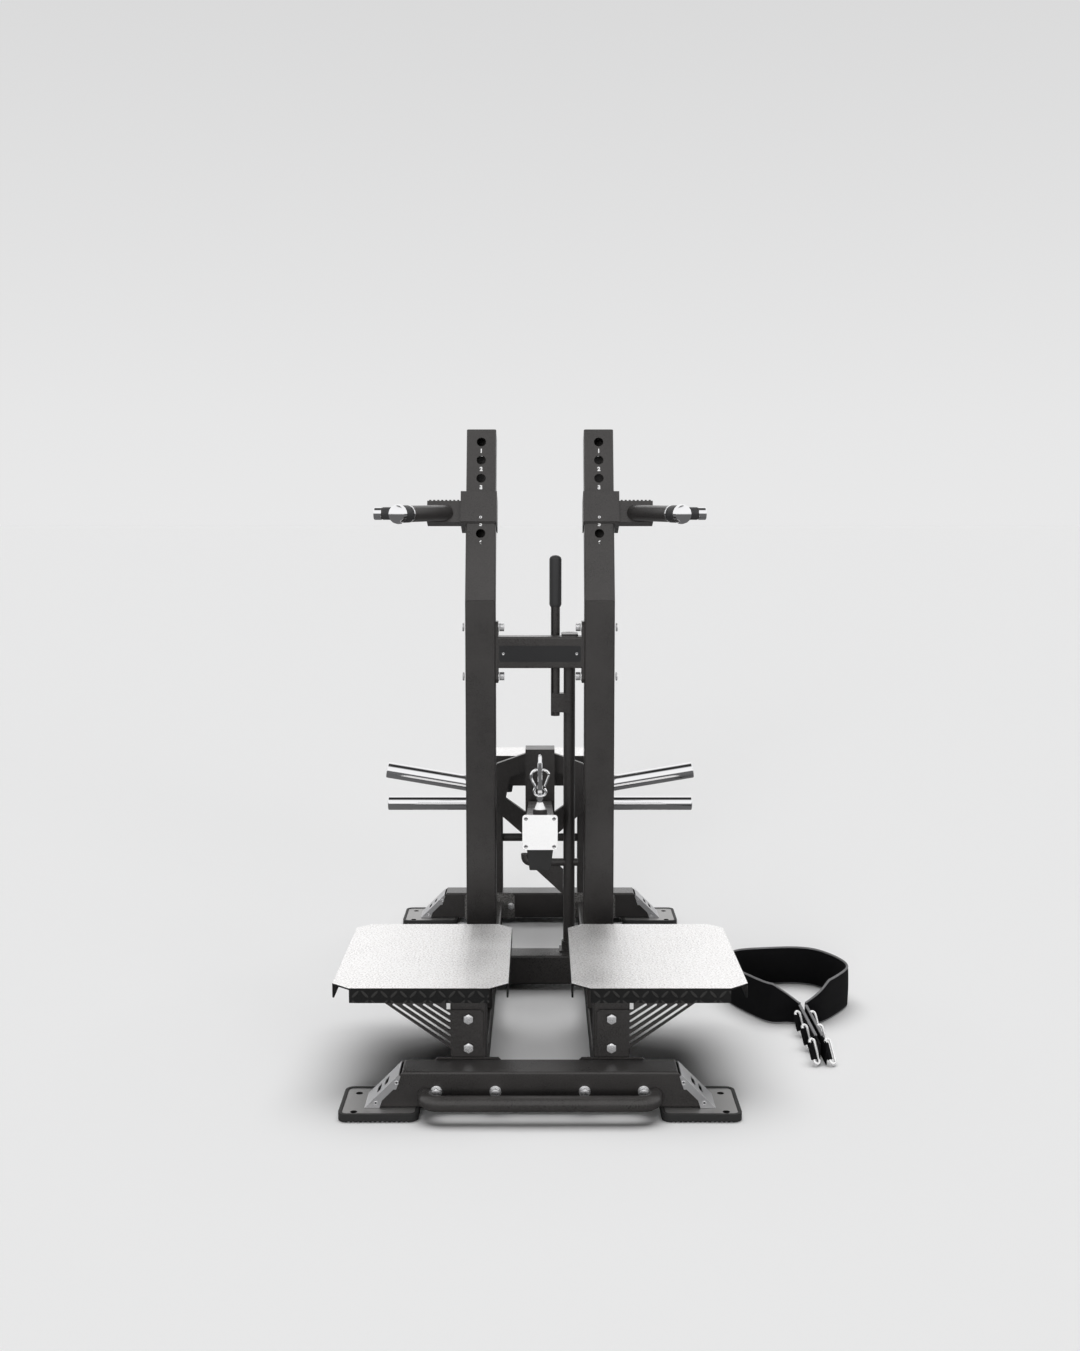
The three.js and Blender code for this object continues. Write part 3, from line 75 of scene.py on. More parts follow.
# %% [markdown]
# ## Where the machine stands
#
# The photograph was taken square on, so the machine's own middle plane and the front face of
# its front beam are the natural places to measure from. Both are read from two solids: the
# rails start 90.3 mm behind the beam's front face, and the grip bar is centred. The uprights
# lean back above a knee, so a second helper finds points on their leaning length.

# %% Find the machine's own axes
RAIL_START = 0.0903  # from the front beam's front face to the rails
grip_low, grip_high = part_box("front_grip_bar")
rail_low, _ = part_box("left_rail")
MIDDLE_X = (grip_low[0] + grip_high[0]) / 2
FRONT_Y = rail_low[1] - RAIL_START


def place(x, y, z):
    """Machine millimetres (right, back, up) as a point in metres."""
    return Vector((MIDDLE_X + x / 1000, FRONT_Y + y / 1000, z / 1000))


LEAN = math.radians(18.5)
KNEE_Y, KNEE_Z = 940, 1205  # front of the upright where it starts to lean
GAUGE = 179  # from the middle plane to the middle of an upright


def on_upright(side, across, behind, along):
    """Point on a leaning upright: across its face, behind its face, and up along it."""
    return place(side * GAUGE + across,
                 KNEE_Y + behind * math.cos(LEAN) + along * math.sin(LEAN),
                 KNEE_Z - behind * math.sin(LEAN) + along * math.cos(LEAN))


print("middle plane %.4f m, front face %.4f m" % (MIDDLE_X, FRONT_Y))

# %% [markdown]
# ## The camera
#
# The verticals of the photograph hardly converge and its horizon lies above the middle, so
# the camera looks six degrees down from about eye height. A 50 mm lens on a 36 mm wide
# sensor gives the same perspective as the picture: the far feet are almost as large as the
# near ones.

# %% Set the camera
CAMERA_BACK, CAMERA_UP, CAMERA_TILT = 3532, 1458, 6.107
bpy.ops.object.camera_add(location=place(0, -CAMERA_BACK, CAMERA_UP),
                          rotation=(math.radians(90 - CAMERA_TILT), 0, 0))
camera = bpy.context.object
camera.name = "photograph camera"
camera.data.lens = 50
camera.data.sensor_width = 36
camera.data.sensor_fit = "HORIZONTAL"
camera.data.clip_end = 200
bpy.context.scene.camera = camera
bpy.context.scene.view_settings.view_transform = "Standard"
print("camera: %d mm in front, %d mm up" % (CAMERA_BACK, CAMERA_UP))

# %% [markdown]
# ## Light round the machine
#
# The photograph's studio is bright all round but its light falls from above, so the space
# under the decks is nearly black. The world therefore gives only a little light of its own.
# What the camera sees of it is a pale wall that darkens slowly upwards. What polished metal
# sees is a white wall under a dark ceiling, which is what puts the dark lines along the
# chrome. Each of the two is a list of heights and greys.

# %% Build the world
WORLD_LIGHT = 0.02
WALL_STOPS = [(0.0, 0.81), (0.06, 0.8), (0.32, 0.7)]
SHINE_STOPS = [(0.0, 0.95), (0.15, 1.15), (0.82, 1.1), (0.95, 0.03)]
world = bpy.data.worlds.new("pale studio")
bpy.context.scene.world = world
world.use_nodes = True
nodes, links = world.node_tree.nodes, world.node_tree.links
nodes.clear()


def world_tones(stops):
    """Background whose grey follows the height of the direction, given as (height, grey)."""
    ramp = nodes.new("ShaderNodeValToRGB")
    while len(ramp.color_ramp.elements) < len(stops):
        ramp.color_ramp.elements.new(0.5)
    for element, (height, grey) in zip(ramp.color_ramp.elements, stops):
        element.position = height
        element.color = (grey, grey, grey * 1.003, 1)
    links.new(rise, ramp.inputs["Fac"])
    background = nodes.new("ShaderNodeBackground")
    links.new(ramp.outputs["Color"], background.inputs["Color"])
    return background.outputs[0]


way = nodes.new("ShaderNodeTexCoord")
parts = nodes.new("ShaderNodeSeparateXYZ")
links.new(way.outputs["Generated"], parts.inputs[0])
rise = parts.outputs["Z"]
path = nodes.new("ShaderNodeLightPath")
lighting = nodes.new("ShaderNodeBackground")
lighting.inputs["Color"].default_value = (1, 1, 1, 1)
lighting.inputs["Strength"].default_value = WORLD_LIGHT
wall = world_tones(WALL_STOPS)
shine = world_tones(SHINE_STOPS)
polished = nodes.new("ShaderNodeMixShader")
links.new(path.outputs["Is Glossy Ray"], polished.inputs[0])
links.new(lighting.outputs[0], polished.inputs[1])
links.new(shine, polished.inputs[2])
choose = nodes.new("ShaderNodeMixShader")
out = nodes.new("ShaderNodeOutputWorld")
links.new(path.outputs["Is Camera Ray"], choose.inputs[0])
links.new(polished.outputs[0], choose.inputs[1])
links.new(wall, choose.inputs[2])
links.new(choose.outputs[0], out.inputs["Surface"])
print("world nodes:", len(nodes))

# %% [markdown]
# ## Lamps
#
# A sun lamp with a very wide disc is the same as an endless soft box overhead: it lights the
# whole floor evenly, so the floor meets the wall without a line, and still throws the soft
# dark shadow under the base. It is tipped so that it shines from a little behind and the
# shadow falls forward. Two weaker ones shine almost level from the front: they light the
# upright faces and leave the floor alone. None is seen by polished metal, which reflects
# the white wall. Where a sun lamp stands makes no difference, only the way it points.


# %% Hang the lamps
def wide_sun(name, tip, turn, width, strength):
    """Sun lamp tipped from straight down, turned round Z, with a wide soft disc."""
    bpy.ops.object.light_add(type="SUN", location=place(0, 900, 4000),
                             rotation=(math.radians(tip), 0, math.radians(turn)))
    lamp = bpy.context.object
    lamp.name = name
    lamp.data.angle = math.radians(width)
    lamp.data.energy = strength
    lamp.visible_glossy = False


wide_sun("overhead", tip=-16, turn=0, width=62, strength=2.6)
wide_sun("front_fill", tip=84, turn=-10, width=20, strength=1.75)
wide_sun("side_fill", tip=84, turn=34, width=20, strength=0.5)

# %% [markdown]
# ## The floor
#
# The floor runs far past the picture so that no edge shows. It is a plain matt white that
# takes the machine's shadow. To polished metal it looks dark, as in the photograph, so its
# colour changes for glossy rays only. It lies a hair below the rubber shoes.

# %% Lay the floor
FLOOR_SIZE, FLOOR_BACK, FLOOR_DROP = 400, 120, 0.0004  # metres
bpy.ops.mesh.primitive_plane_add(size=FLOOR_SIZE,
                                 location=(MIDDLE_X, FRONT_Y + FLOOR_BACK, -FLOOR_DROP))
floor = bpy.context.object
floor.name = "studio_floor"
floor_paint = bpy.data.materials.new("studio floor")
floor_paint.use_nodes = True
floor_tree = floor_paint.node_tree
floor_shader = floor_tree.nodes["Principled BSDF"]
floor_shader.inputs["Roughness"].default_value = 0.9
floor_shader.inputs["Specular IOR Level"].default_value = 0.0
floor_path = floor_tree.nodes.new("ShaderNodeLightPath")
floor_tone = floor_tree.nodes.new("ShaderNodeMix")
floor_tone.data_type = "RGBA"
floor_tone.inputs[6].default_value = (0.9, 0.9, 0.902, 1)
floor_tone.inputs[7].default_value = (0.17, 0.17, 0.172, 1)
floor_tree.links.new(floor_path.outputs["Is Glossy Ray"], floor_tone.inputs["Factor"])
floor_tree.links.new(floor_tone.outputs[2], floor_shader.inputs["Base Color"])
floor.data.materials.append(floor_paint)
print("floor: %d m square" % FLOOR_SIZE)

# %% [markdown]
# ## Helpers for shaders
#
# A few short functions make the nodes that come back again and again: a group with its
# sockets, a noise, a sum, and the step that spreads the middle of a noise over a range. A
# socket or a plain number can be given to each of them.


# %% Write the shader helpers
NOISE_LOW, NOISE_HIGH = 0.3, 0.7  # nearly all of a noise lies between these


def new_group(name, inputs, outputs):
    """Shader node group with named sockets, each given as (name, type, default)."""
    group = bpy.data.node_groups.new(name, "ShaderNodeTree")
    for label, kind, value in inputs:
        socket = group.interface.new_socket(label, in_out="INPUT", socket_type=kind)
        if value is not None:
            socket.default_value = value
    for label, kind in outputs:
        group.interface.new_socket(label, in_out="OUTPUT", socket_type=kind)
    return group, group.nodes.new("NodeGroupInput"), group.nodes.new("NodeGroupOutput")


def feed(tree, value, socket):
    """Gives a socket the value of another socket, or a plain number."""
    if hasattr(value, "links"):
        tree.links.new(value, socket)
    else:
        socket.default_value = value


def noise_in(tree, vector, scale, detail):
    """Noise texture read at a vector, with its scale given by a socket or a number."""
    node = tree.nodes.new("ShaderNodeTexNoise")
    node.inputs["Detail"].default_value = detail
    tree.links.new(vector, node.inputs["Vector"])
    feed(tree, scale, node.inputs["Scale"])
    return node.outputs["Fac"]


def math_in(tree, operation, first, second):
    """Math node fed by sockets or numbers."""
    node = tree.nodes.new("ShaderNodeMath")
    node.operation = operation
    feed(tree, first, node.inputs[0])
    feed(tree, second, node.inputs[1])
    return node.outputs[0]


def spread_in(tree, value, low, high):
    """Maps the middle of a noise on to a low and a high value."""
    node = tree.nodes.new("ShaderNodeMapRange")
    node.inputs["From Min"].default_value = NOISE_LOW
    node.inputs["From Max"].default_value = NOISE_HIGH
    tree.links.new(value, node.inputs["Value"])
    feed(tree, low, node.inputs["To Min"])
    feed(tree, high, node.inputs["To Max"])
    return node.outputs["Result"]


print("shader helpers: 5")

# %% [markdown]
# ## Effects that several finishes share
#
# Grain is what makes powder coat, cast sheet and rubber look real close up. One node group
# makes it from three noises: a fine one for the grain itself, a broad one for the slow
# change of tone over a big panel, and a plain one whose flecks a finish may add. Each finish
# places it with its own scale and strength. A second group lays a little pale dust where a
# surface faces up.

# %% Build the shared shader groups
BROAD_SCALE, PATCH_SCALE = 7.0, 16.0
FINE_SHARE, BROAD_SHARE = 0.55, 0.45
FLECK_SCALE_SHARE = 0.8
grain, grain_in, grain_out = new_group(
    "surface grain",
    [("Vector", "NodeSocketVector", None), ("Grain Scale", "NodeSocketFloat", 900.0),
     ("Tone Low", "NodeSocketFloat", 0.9), ("Tone High", "NodeSocketFloat", 1.1),
     ("Rough Low", "NodeSocketFloat", 0.4), ("Rough High", "NodeSocketFloat", 0.6),
     ("Fleck", "NodeSocketFloat", 0.0)],
    [("Tone", "NodeSocketFloat"), ("Roughness", "NodeSocketFloat"),
     ("Height", "NodeSocketFloat")])
fine = noise_in(grain, grain_in.outputs["Vector"], grain_in.outputs["Grain Scale"], 3.0)
broad = noise_in(grain, grain_in.outputs["Vector"], BROAD_SCALE, 4.0)
mixed = math_in(grain, "ADD", math_in(grain, "MULTIPLY", fine, FINE_SHARE),
                math_in(grain, "MULTIPLY", broad, BROAD_SHARE))
fleck_scale = math_in(grain, "MULTIPLY", grain_in.outputs["Grain Scale"], FLECK_SCALE_SHARE)
flecks = noise_in(grain, grain_in.outputs["Vector"], fleck_scale, 0.0)
fleck_tone = math_in(grain, "MULTIPLY", spread_in(grain, flecks, -1.0, 1.0),
                     grain_in.outputs["Fleck"])
toned = spread_in(grain, mixed, grain_in.outputs["Tone Low"], grain_in.outputs["Tone High"])
grain.links.new(math_in(grain, "ADD", toned, fleck_tone), grain_out.inputs["Tone"])
grain.links.new(spread_in(grain, mixed, grain_in.outputs["Rough Low"],
                          grain_in.outputs["Rough High"]), grain_out.inputs["Roughness"])
grain.links.new(fine, grain_out.inputs["Height"])

dust, dust_in, dust_out = new_group(
    "settled dust",
    [("Vector", "NodeSocketVector", None), ("Normal", "NodeSocketVector", None),
     ("Amount", "NodeSocketFloat", 0.1)],
    [("Mask", "NodeSocketFloat")])
split = dust.nodes.new("ShaderNodeSeparateXYZ")
dust.links.new(dust_in.outputs["Normal"], split.inputs[0])
facing_up = math_in(dust, "MAXIMUM", split.outputs["Z"], 0.0)
patches = spread_in(dust, noise_in(dust, dust_in.outputs["Vector"], PATCH_SCALE, 5.0),
                    0.2, 1.0)
settled = math_in(dust, "MULTIPLY", facing_up, patches)
dust.links.new(math_in(dust, "MULTIPLY", settled, dust_in.outputs["Amount"]),
               dust_out.inputs["Mask"])
print("shared groups:", [g.name for g in bpy.data.node_groups])

# %% [markdown]
# ## Finishes
#
# Every finish starts from the same short recipe: a base colour that the grain makes a little
# lighter and darker, a roughness that varies with it, and a bump from the fine grain. What
# differs is the metal, the scale and the strength. Tread plate and webbing add a coarser
# relief of their own under the grain.


# %% Write the recipe of a finish
GRAIN_DEPTH = 0.0004
DUST_COLOUR = (0.5, 0.49, 0.48, 1)


def finish(name, colour, metallic, grain_scale, tone, rough, bump, dusty=0.0, coat=0.0,
           fleck=0.0):
    """Material with grain in its tone, gloss and surface, and dust on its upper faces."""
    material = bpy.data.materials.new(name)
    material.use_nodes = True
    tree = material.node_tree
    shader = tree.nodes["Principled BSDF"]
    shader.inputs["Metallic"].default_value = metallic
    shader.inputs["Coat Weight"].default_value = coat
    where = tree.nodes.new("ShaderNodeTexCoord")
    group = tree.nodes.new("ShaderNodeGroup")
    group.node_tree = grain
    tree.links.new(where.outputs["Object"], group.inputs["Vector"])
    for label, value in (("Grain Scale", grain_scale), ("Tone Low", tone[0]),
                         ("Tone High", tone[1]), ("Rough Low", rough[0]),
                         ("Rough High", rough[1]), ("Fleck", fleck)):
        group.inputs[label].default_value = value
    tint = tree.nodes.new("ShaderNodeMix")
    tint.data_type = "RGBA"
    tint.blend_type = "MULTIPLY"
    tint.inputs["Factor"].default_value = 1.0
    tint.inputs[6].default_value = (*colour, 1)
    grey = tree.nodes.new("ShaderNodeCombineColor")
    for label in ("Red", "Green", "Blue"):
        tree.links.new(group.outputs["Tone"], grey.inputs[label])
    tree.links.new(grey.outputs[0], tint.inputs[7])
    dusting = tree.nodes.new("ShaderNodeGroup")
    dusting.node_tree = dust
    dusting.inputs["Amount"].default_value = dusty
    shape = tree.nodes.new("ShaderNodeNewGeometry")
    tree.links.new(where.outputs["Object"], dusting.inputs["Vector"])
    tree.links.new(shape.outputs["Normal"], dusting.inputs["Normal"])
    dusted = tree.nodes.new("ShaderNodeMix")
    dusted.data_type = "RGBA"
    dusted.inputs[7].default_value = DUST_COLOUR
    tree.links.new(dusting.outputs["Mask"], dusted.inputs["Factor"])
    tree.links.new(tint.outputs[2], dusted.inputs[6])
    tree.links.new(dusted.outputs[2], shader.inputs["Base Color"])
    tree.links.new(group.outputs["Roughness"], shader.inputs["Roughness"])
    relief = tree.nodes.new("ShaderNodeBump")
    relief.inputs["Distance"].default_value = GRAIN_DEPTH
    relief.inputs["Strength"].default_value = bump
    tree.links.new(group.outputs["Height"], relief.inputs["Height"])
    tree.links.new(relief.outputs["Normal"], shader.inputs["Normal"])
    return material


def under_relief(material, height, depth, strength):
    """Adds a coarser relief under a finish's own grain."""
    tree = material.node_tree
    fine_relief = next(node for node in tree.nodes if node.type == "BUMP")
    relief = tree.nodes.new("ShaderNodeBump")
    relief.inputs["Distance"].default_value = depth
    relief.inputs["Strength"].default_value = strength
    tree.links.new(height, relief.inputs["Height"])
    tree.links.new(relief.outputs["Normal"], fine_relief.inputs["Normal"])


print("grain depth: %.1f mm" % (GRAIN_DEPTH * 1000))

# %% [markdown]
# ## The plain finishes
#
# Powder coat is nearly black with a broad soft shine and fine pale flecks. Chrome and zinc
# differ in how sharp their reflections are. The metal of the rings and the hook's base is only
# partly metallic: its near-white diffuse colour is a painted highlight. The two rubbers are
# dull, and the grips a little smoother than the moulded shoes.

# %% Make the plain finishes
powder_coat = finish("anthracite powder coat", (0.042, 0.0395, 0.0385), metallic=0.2,
                     grain_scale=480, tone=(0.78, 1.27), rough=(0.2, 0.44), bump=0.9,
                     dusty=0.03, fleck=0.14)
flange_steel = finish("bare flange", (0.17, 0.165, 0.16), metallic=0.3, grain_scale=330,
                      tone=(0.5, 1.5), rough=(0.3, 0.45), bump=0.6, fleck=0.6)
chrome = finish("polished chrome", (0.8, 0.8, 0.81), metallic=1.0, grain_scale=400,
                tone=(0.97, 1.02), rough=(0.03, 0.08), bump=0.02)
bright_sheet = finish("satin steel sheet", (0.62, 0.62, 0.63), metallic=0.75,
                      grain_scale=1100, tone=(0.92, 1.06), rough=(0.28, 0.42), bump=0.1)
white_plate = finish("white enamel", (1.0, 1.0, 1.0), metallic=0.0, grain_scale=600,
                     tone=(0.97, 1.02), rough=(0.22, 0.32), bump=0.05, coat=0.4)
foot_steel = finish("foot plate steel", (0.36, 0.355, 0.35), metallic=0.7, grain_scale=900,
                    tone=(0.8, 1.15), rough=(0.32, 0.5), bump=0.3)
# Painted highlight: a near-white diffuse colour on a mostly non-metal shader, for the rings
# and the hook's base.
nickel_with_painted_highlight = finish("ring nickel", (0.97, 0.97, 0.97), metallic=0.3, grain_scale=500,
                tone=(0.97, 1.02), rough=(0.12, 0.2), bump=0.02)
zinc = finish("bright zinc", (0.85, 0.85, 0.86), metallic=0.7, grain_scale=700,
              tone=(0.95, 1.03), rough=(0.2, 0.32), bump=0.05)
black_rubber = finish("moulded rubber", (0.018, 0.018, 0.018), metallic=0.0,
                      grain_scale=1300, tone=(0.8, 1.2), rough=(0.55, 0.8), bump=0.4,
                      dusty=0.03)
grip_rubber = finish("grip rubber", (0.03, 0.03, 0.031), metallic=0.0, grain_scale=900,
                     tone=(0.85, 1.15), rough=(0.42, 0.6), bump=0.5)
print("finishes:", [m.name for m in bpy.data.materials])

# %% [markdown]
# ## Tread plate
#
# Tread plate is rolled with rows of short raised bars that lean left and right in turn. On
# the deck's top the grain is a fine bright grit; on its folded front the bars show as dark
# steel. The bars are a pattern on the surface, far too many to model, so they are drawn in
# the shader: the surface is cut into square cells, each cell turns its bar the other way
# from its neighbour, and a long ellipse in each becomes the height.


# %% Build the tread pattern
BAR_LONG, BAR_SHORT = 0.75, 2.6  # how much the ellipse is squeezed along and across
BAR_EDGE = (("From Min", 0.16), ("From Max", 0.34), ("To Min", 1.0), ("To Max", 0.0))
tread, tread_in, tread_out = new_group(
    "tread bars",
    [("Vector", "NodeSocketVector", None), ("Pitch", "NodeSocketFloat", 0.022)],
    [("Height", "NodeSocketFloat")])
cell = tread.nodes.new("ShaderNodeSeparateXYZ")
tread.links.new(tread_in.outputs["Vector"], cell.inputs[0])


def cell_parts(value):
    """A coordinate as the number of its cell and the place inside it, from -0.5 to 0.5."""
    scaled = math_in(tread, "DIVIDE", value, tread_in.outputs["Pitch"])
    number = math_in(tread, "FLOOR", scaled, 0.0)
    inside = math_in(tread, "SUBTRACT", math_in(tread, "SUBTRACT", scaled, number), 0.5)
    return number, inside


column, across = cell_parts(cell.outputs["X"])
row, upward = cell_parts(cell.outputs["Y"])
parity = math_in(tread, "ABSOLUTE", math_in(
    tread, "MODULO", math_in(tread, "ADD", column, row), 2.0), 0.0)
turn = math_in(tread, "SUBTRACT", math_in(tread, "MULTIPLY", parity, 2.0), 1.0)
turned = math_in(tread, "MULTIPLY", upward, turn)
long_way = math_in(tread, "MULTIPLY", math_in(tread, "ADD", across, turned), BAR_LONG)
short_way = math_in(tread, "MULTIPLY", math_in(tread, "SUBTRACT", across, turned), BAR_SHORT)
distance = math_in(tread, "ADD", math_in(tread, "MULTIPLY", long_way, long_way),
                   math_in(tread, "MULTIPLY", short_way, short_way))
edge = tread.nodes.new("ShaderNodeMapRange")
edge.interpolation_type = "SMOOTHSTEP"
for label, value in BAR_EDGE:
    edge.inputs[label].default_value = value
tread.links.new(distance, edge.inputs["Value"])
tread.links.new(edge.outputs["Result"], tread_out.inputs["Height"])
print("tread nodes:", len(tread.nodes))

# %% [markdown]
# ## The deck's three finishes
#
# The top keeps one colour all over. On the folds the ground is black and the bars are worn
# to a dark grey. The bars lie in the plane of the face that they are on.


# %% Make the deck finishes
BAR_PITCH = 0.024
PLANES = {"top": "XY", "front": "XZ", "side": "YZ"}


def tread_finish(name, ground, metallic, rough, plane, depth, worn=None):
    """Tread plate with its bars in one of the planes, in a second colour where worn."""
    material = finish(name, ground, metallic, grain_scale=270, tone=(0.82, 1.06), rough=rough,
                      bump=0.6, fleck=0.2)
    tree = material.node_tree
    where = next(node for node in tree.nodes if node.type == "TEX_COORD")
    parts = tree.nodes.new("ShaderNodeSeparateXYZ")
    tree.links.new(where.outputs["Object"], parts.inputs[0])
    flat = tree.nodes.new("ShaderNodeCombineXYZ")
    first, second = PLANES[plane]
    tree.links.new(parts.outputs[first], flat.inputs["X"])
    tree.links.new(parts.outputs[second], flat.inputs["Y"])
    bars = tree.nodes.new("ShaderNodeGroup")
    bars.node_tree = tread
    bars.inputs["Pitch"].default_value = BAR_PITCH
    tree.links.new(flat.outputs[0], bars.inputs["Vector"])
    if worn:
        colour = tree.nodes["Principled BSDF"].inputs["Base Color"]
        wear = tree.nodes.new("ShaderNodeMix")
        wear.data_type = "RGBA"
        wear.inputs[7].default_value = (*worn, 1)
        tree.links.new(bars.outputs["Height"], wear.inputs["Factor"])
        tree.links.new(colour.links[0].from_socket, wear.inputs[6])
        tree.links.new(wear.outputs[2], colour)
    under_relief(material, bars.outputs["Height"], depth, 1.0)
    return material


deck_top = tread_finish("deck top", (1.0, 0.985, 0.975), metallic=0.8, rough=(0.28, 0.5),
                        plane="top", depth=0.0003)
deck_front, deck_side = (
    tread_finish(f"deck fold, {plane}", (0.007, 0.007, 0.007), metallic=0.2,
                 rough=(0.4, 0.55), plane=plane, depth=0.0012, worn=(0.034, 0.033, 0.032))
    for plane in ("front", "side"))
print("deck finishes:", deck_top.name, deck_front.name, deck_side.name)

# %% [markdown]
# ## Soft edges on every steel piece
#
# A solid cut at sharp corners never looks like folded or welded steel, because a real edge
# always catches a thin line of light. Each solid is copied, its loose triangles are merged
# and its flat faces made whole again, and a small bevel rounds the edges. The copy then
# stands in for the solid. Weighted normals keep the big faces flat while the bevels shade
# smoothly.


# %% Dress the solids
EDGE_ROUND = 0.0012


def select_only(obj):
    """Leaves one object selected and active."""
    bpy.ops.object.select_all(action="DESELECT")
    obj.select_set(True)
    bpy.context.view_layer.objects.active = obj


def use_modifier(obj, kind, **settings):
    """Adds a modifier with its settings and applies it at once."""
    select_only(obj)
    modifier = obj.modifiers.new(kind.lower(), kind)
    for label, value in settings.items():
        setattr(modifier, label, value)
    bpy.ops.object.modifier_apply(modifier=modifier.name)


def settle(obj, body, material):
    """Names an object's finish, hangs it on its body and moves its place into its mesh."""
    select_only(obj)
    bpy.ops.object.transform_apply(location=True, rotation=True, scale=True)
    obj.data.materials.clear()
    obj.data.materials.append(material)
    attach(obj, body)
    return obj


def dressed(node, material):
    """Softened copy of one solid, standing in for it."""
    source = frame["nodes"][node]
    obj = bpy.data.objects.new(f"soft_{node}", source.data.copy())
    bpy.context.scene.collection.objects.link(obj)
    select_only(obj)
    bpy.ops.object.mode_set(mode="EDIT")
    bpy.ops.mesh.select_all(action="SELECT")
    bpy.ops.mesh.remove_doubles(threshold=0.000002)
    bpy.ops.mesh.dissolve_limited(angle_limit=math.radians(0.4))
    bpy.ops.object.mode_set(mode="OBJECT")
    use_modifier(obj, "BEVEL", width=EDGE_ROUND, segments=2, limit_method="ANGLE",
                 angle_limit=math.radians(38), use_clamp_overlap=True)
    bpy.ops.object.shade_smooth_by_angle(angle=math.radians(32))
    use_modifier(obj, "WEIGHTED_NORMAL", keep_sharp=True)
    settle(obj, source["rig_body"], material)
    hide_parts(node)
    return obj


looks = {"powder_coat": powder_coat, "chrome": chrome, "bright_sheet": bright_sheet,
         "rubber": black_rubber, "deck_tread": deck_top}
own_looks = {"latch_grip": grip_rubber, "nose_plate": white_plate}
pieces = {}
for part in frame["record"]["subparts"]:
    node, finish_slot = part["node"], part["material_slot"]
    if not node.startswith("belt_"):
        material = own_looks.get(node) or looks[finish_slot]
        pieces[node] = dressed(node, material)
print("dressed pieces:", len(pieces))

# %% [markdown]
# ## The decks' folds
#
# The deck's top is bright and its folded edges are dark. Faces are given their finish by the
# way they point: up for the top, forward and back for the long folds, sideways for the rest.

# %% Finish the decks
for side in ("left", "right"):
    deck = pieces[f"{side}_deck"]
    deck.data.materials.append(deck_front)
    deck.data.materials.append(deck_side)
    for face in deck.data.polygons:
        if face.normal.z > 0.5:
            face.material_index = 0
        elif abs(face.normal.x) > abs(face.normal.y):
            face.material_index = 2
        else:
            face.material_index = 1
print("deck finishes laid by the way the faces point")

# %% [markdown]
# ## Foot plates and the crosshead's top
#
# The foot plates welded under the two cross beams are bare steel, and so are the front faces
# of the flanges at the rails' rear ends. The crosshead's top is given the bright deck finish
# as a
# painted reflection: that face catches the pale wall at a grazing angle.
# These faces are found by their place and by the way they point.

# %% Finish the foot plates, the rear flanges and the crosshead's top
FOOT_TOP, FOOT_INNER = 0.022, 0.29
FLANGE_BACK = 1.7
CROSSHEAD_TOP = 0.595


def refinish(name, material, chosen):
    """Gives the chosen faces of a piece a second finish."""
    piece = pieces[name]
    piece.data.materials.append(material)
    for face in piece.data.polygons:
        if chosen(face.normal, face.center):
            face.material_index = 1


for name in ("front_beam", "rear_beam"):
    refinish(name, foot_steel, lambda way, at: way.z > 0.5 and at.z < FOOT_TOP
             and abs(at.x - MIDDLE_X) > FOOT_INNER)
for name in ("left_rail", "right_rail"):
    refinish(name, flange_steel, lambda way, at: way.y < -0.5 and at.y > FRONT_Y + FLANGE_BACK)
# Painted reflection: the crosshead's powder-coated top takes the bright deck finish.
refinish("crosshead", deck_top, lambda way, at: way.z > 0.5 and at.z > CROSSHEAD_TOP)
print("pieces with a second finish: 5")

# %% [markdown]
# ## Nuts and bolt heads
#
# The joints of the frame are bolted. A bolt shows its head on one side, a low hexagon, and a
# flanged nut on the other, a longer hexagon on a round flange. Both have their outer corners
# turned down to a shallow cone, which is what catches the light. Each is modelled once.


# %% Model the bolt head and the nut
CONE_SLOPE, CONE_LIFT = 1.6, 0.0045
FLANGE_THICK = 0.003


def hexagon(name, across, height, flange=0.0):
    """Hexagon standing on the origin with its outer end turned down, on a round flange."""
    reach = across / 2
    bpy.ops.mesh.primitive_cylinder_add(vertices=6, radius=reach, depth=height,
                                        location=(0, 0, height / 2))
    body = bpy.context.object
    bpy.ops.object.transform_apply(location=True, rotation=False, scale=False)
    cone_height = reach / CONE_SLOPE + height
    bpy.ops.mesh.primitive_cone_add(vertices=48, radius1=reach + height * CONE_SLOPE,
                                    radius2=0, depth=cone_height,
                                    location=(0, 0, cone_height / 2 + CONE_LIFT))
    cone = bpy.context.object
    bpy.ops.object.transform_apply(location=True, rotation=False, scale=False)
    use_modifier(body, "BOOLEAN", operation="INTERSECT", object=cone)
    bpy.data.objects.remove(cone)
    use_modifier(body, "BEVEL", width=0.0005, segments=2, limit_method="ANGLE",
                 angle_limit=math.radians(22))
    if flange:
        bpy.ops.mesh.primitive_cylinder_add(vertices=32, radius=flange / 2, depth=FLANGE_THICK,
                                            location=(0, 0, FLANGE_THICK / 2))
        disc = bpy.context.object
        use_modifier(disc, "BEVEL", width=0.0008, segments=2, limit_method="ANGLE")
        select_only(disc)
        body.select_set(True)
        bpy.ops.object.join()
        body = disc
    bpy.ops.object.shade_smooth_by_angle(angle=math.radians(24))
    body.name = name
    return body


def set_copy(pattern, name, at, towards, body, material):
    """Copy of a small piece with its Z axis turned towards a direction."""
    obj = bpy.data.objects.new(name, pattern.data.copy())
    bpy.context.scene.collection.objects.link(obj)
    turn = Vector(towards).to_track_quat("Z", "Y").to_matrix().to_4x4()
    obj.matrix_world = Matrix.Translation(at) @ turn
    return settle(obj, body, material)


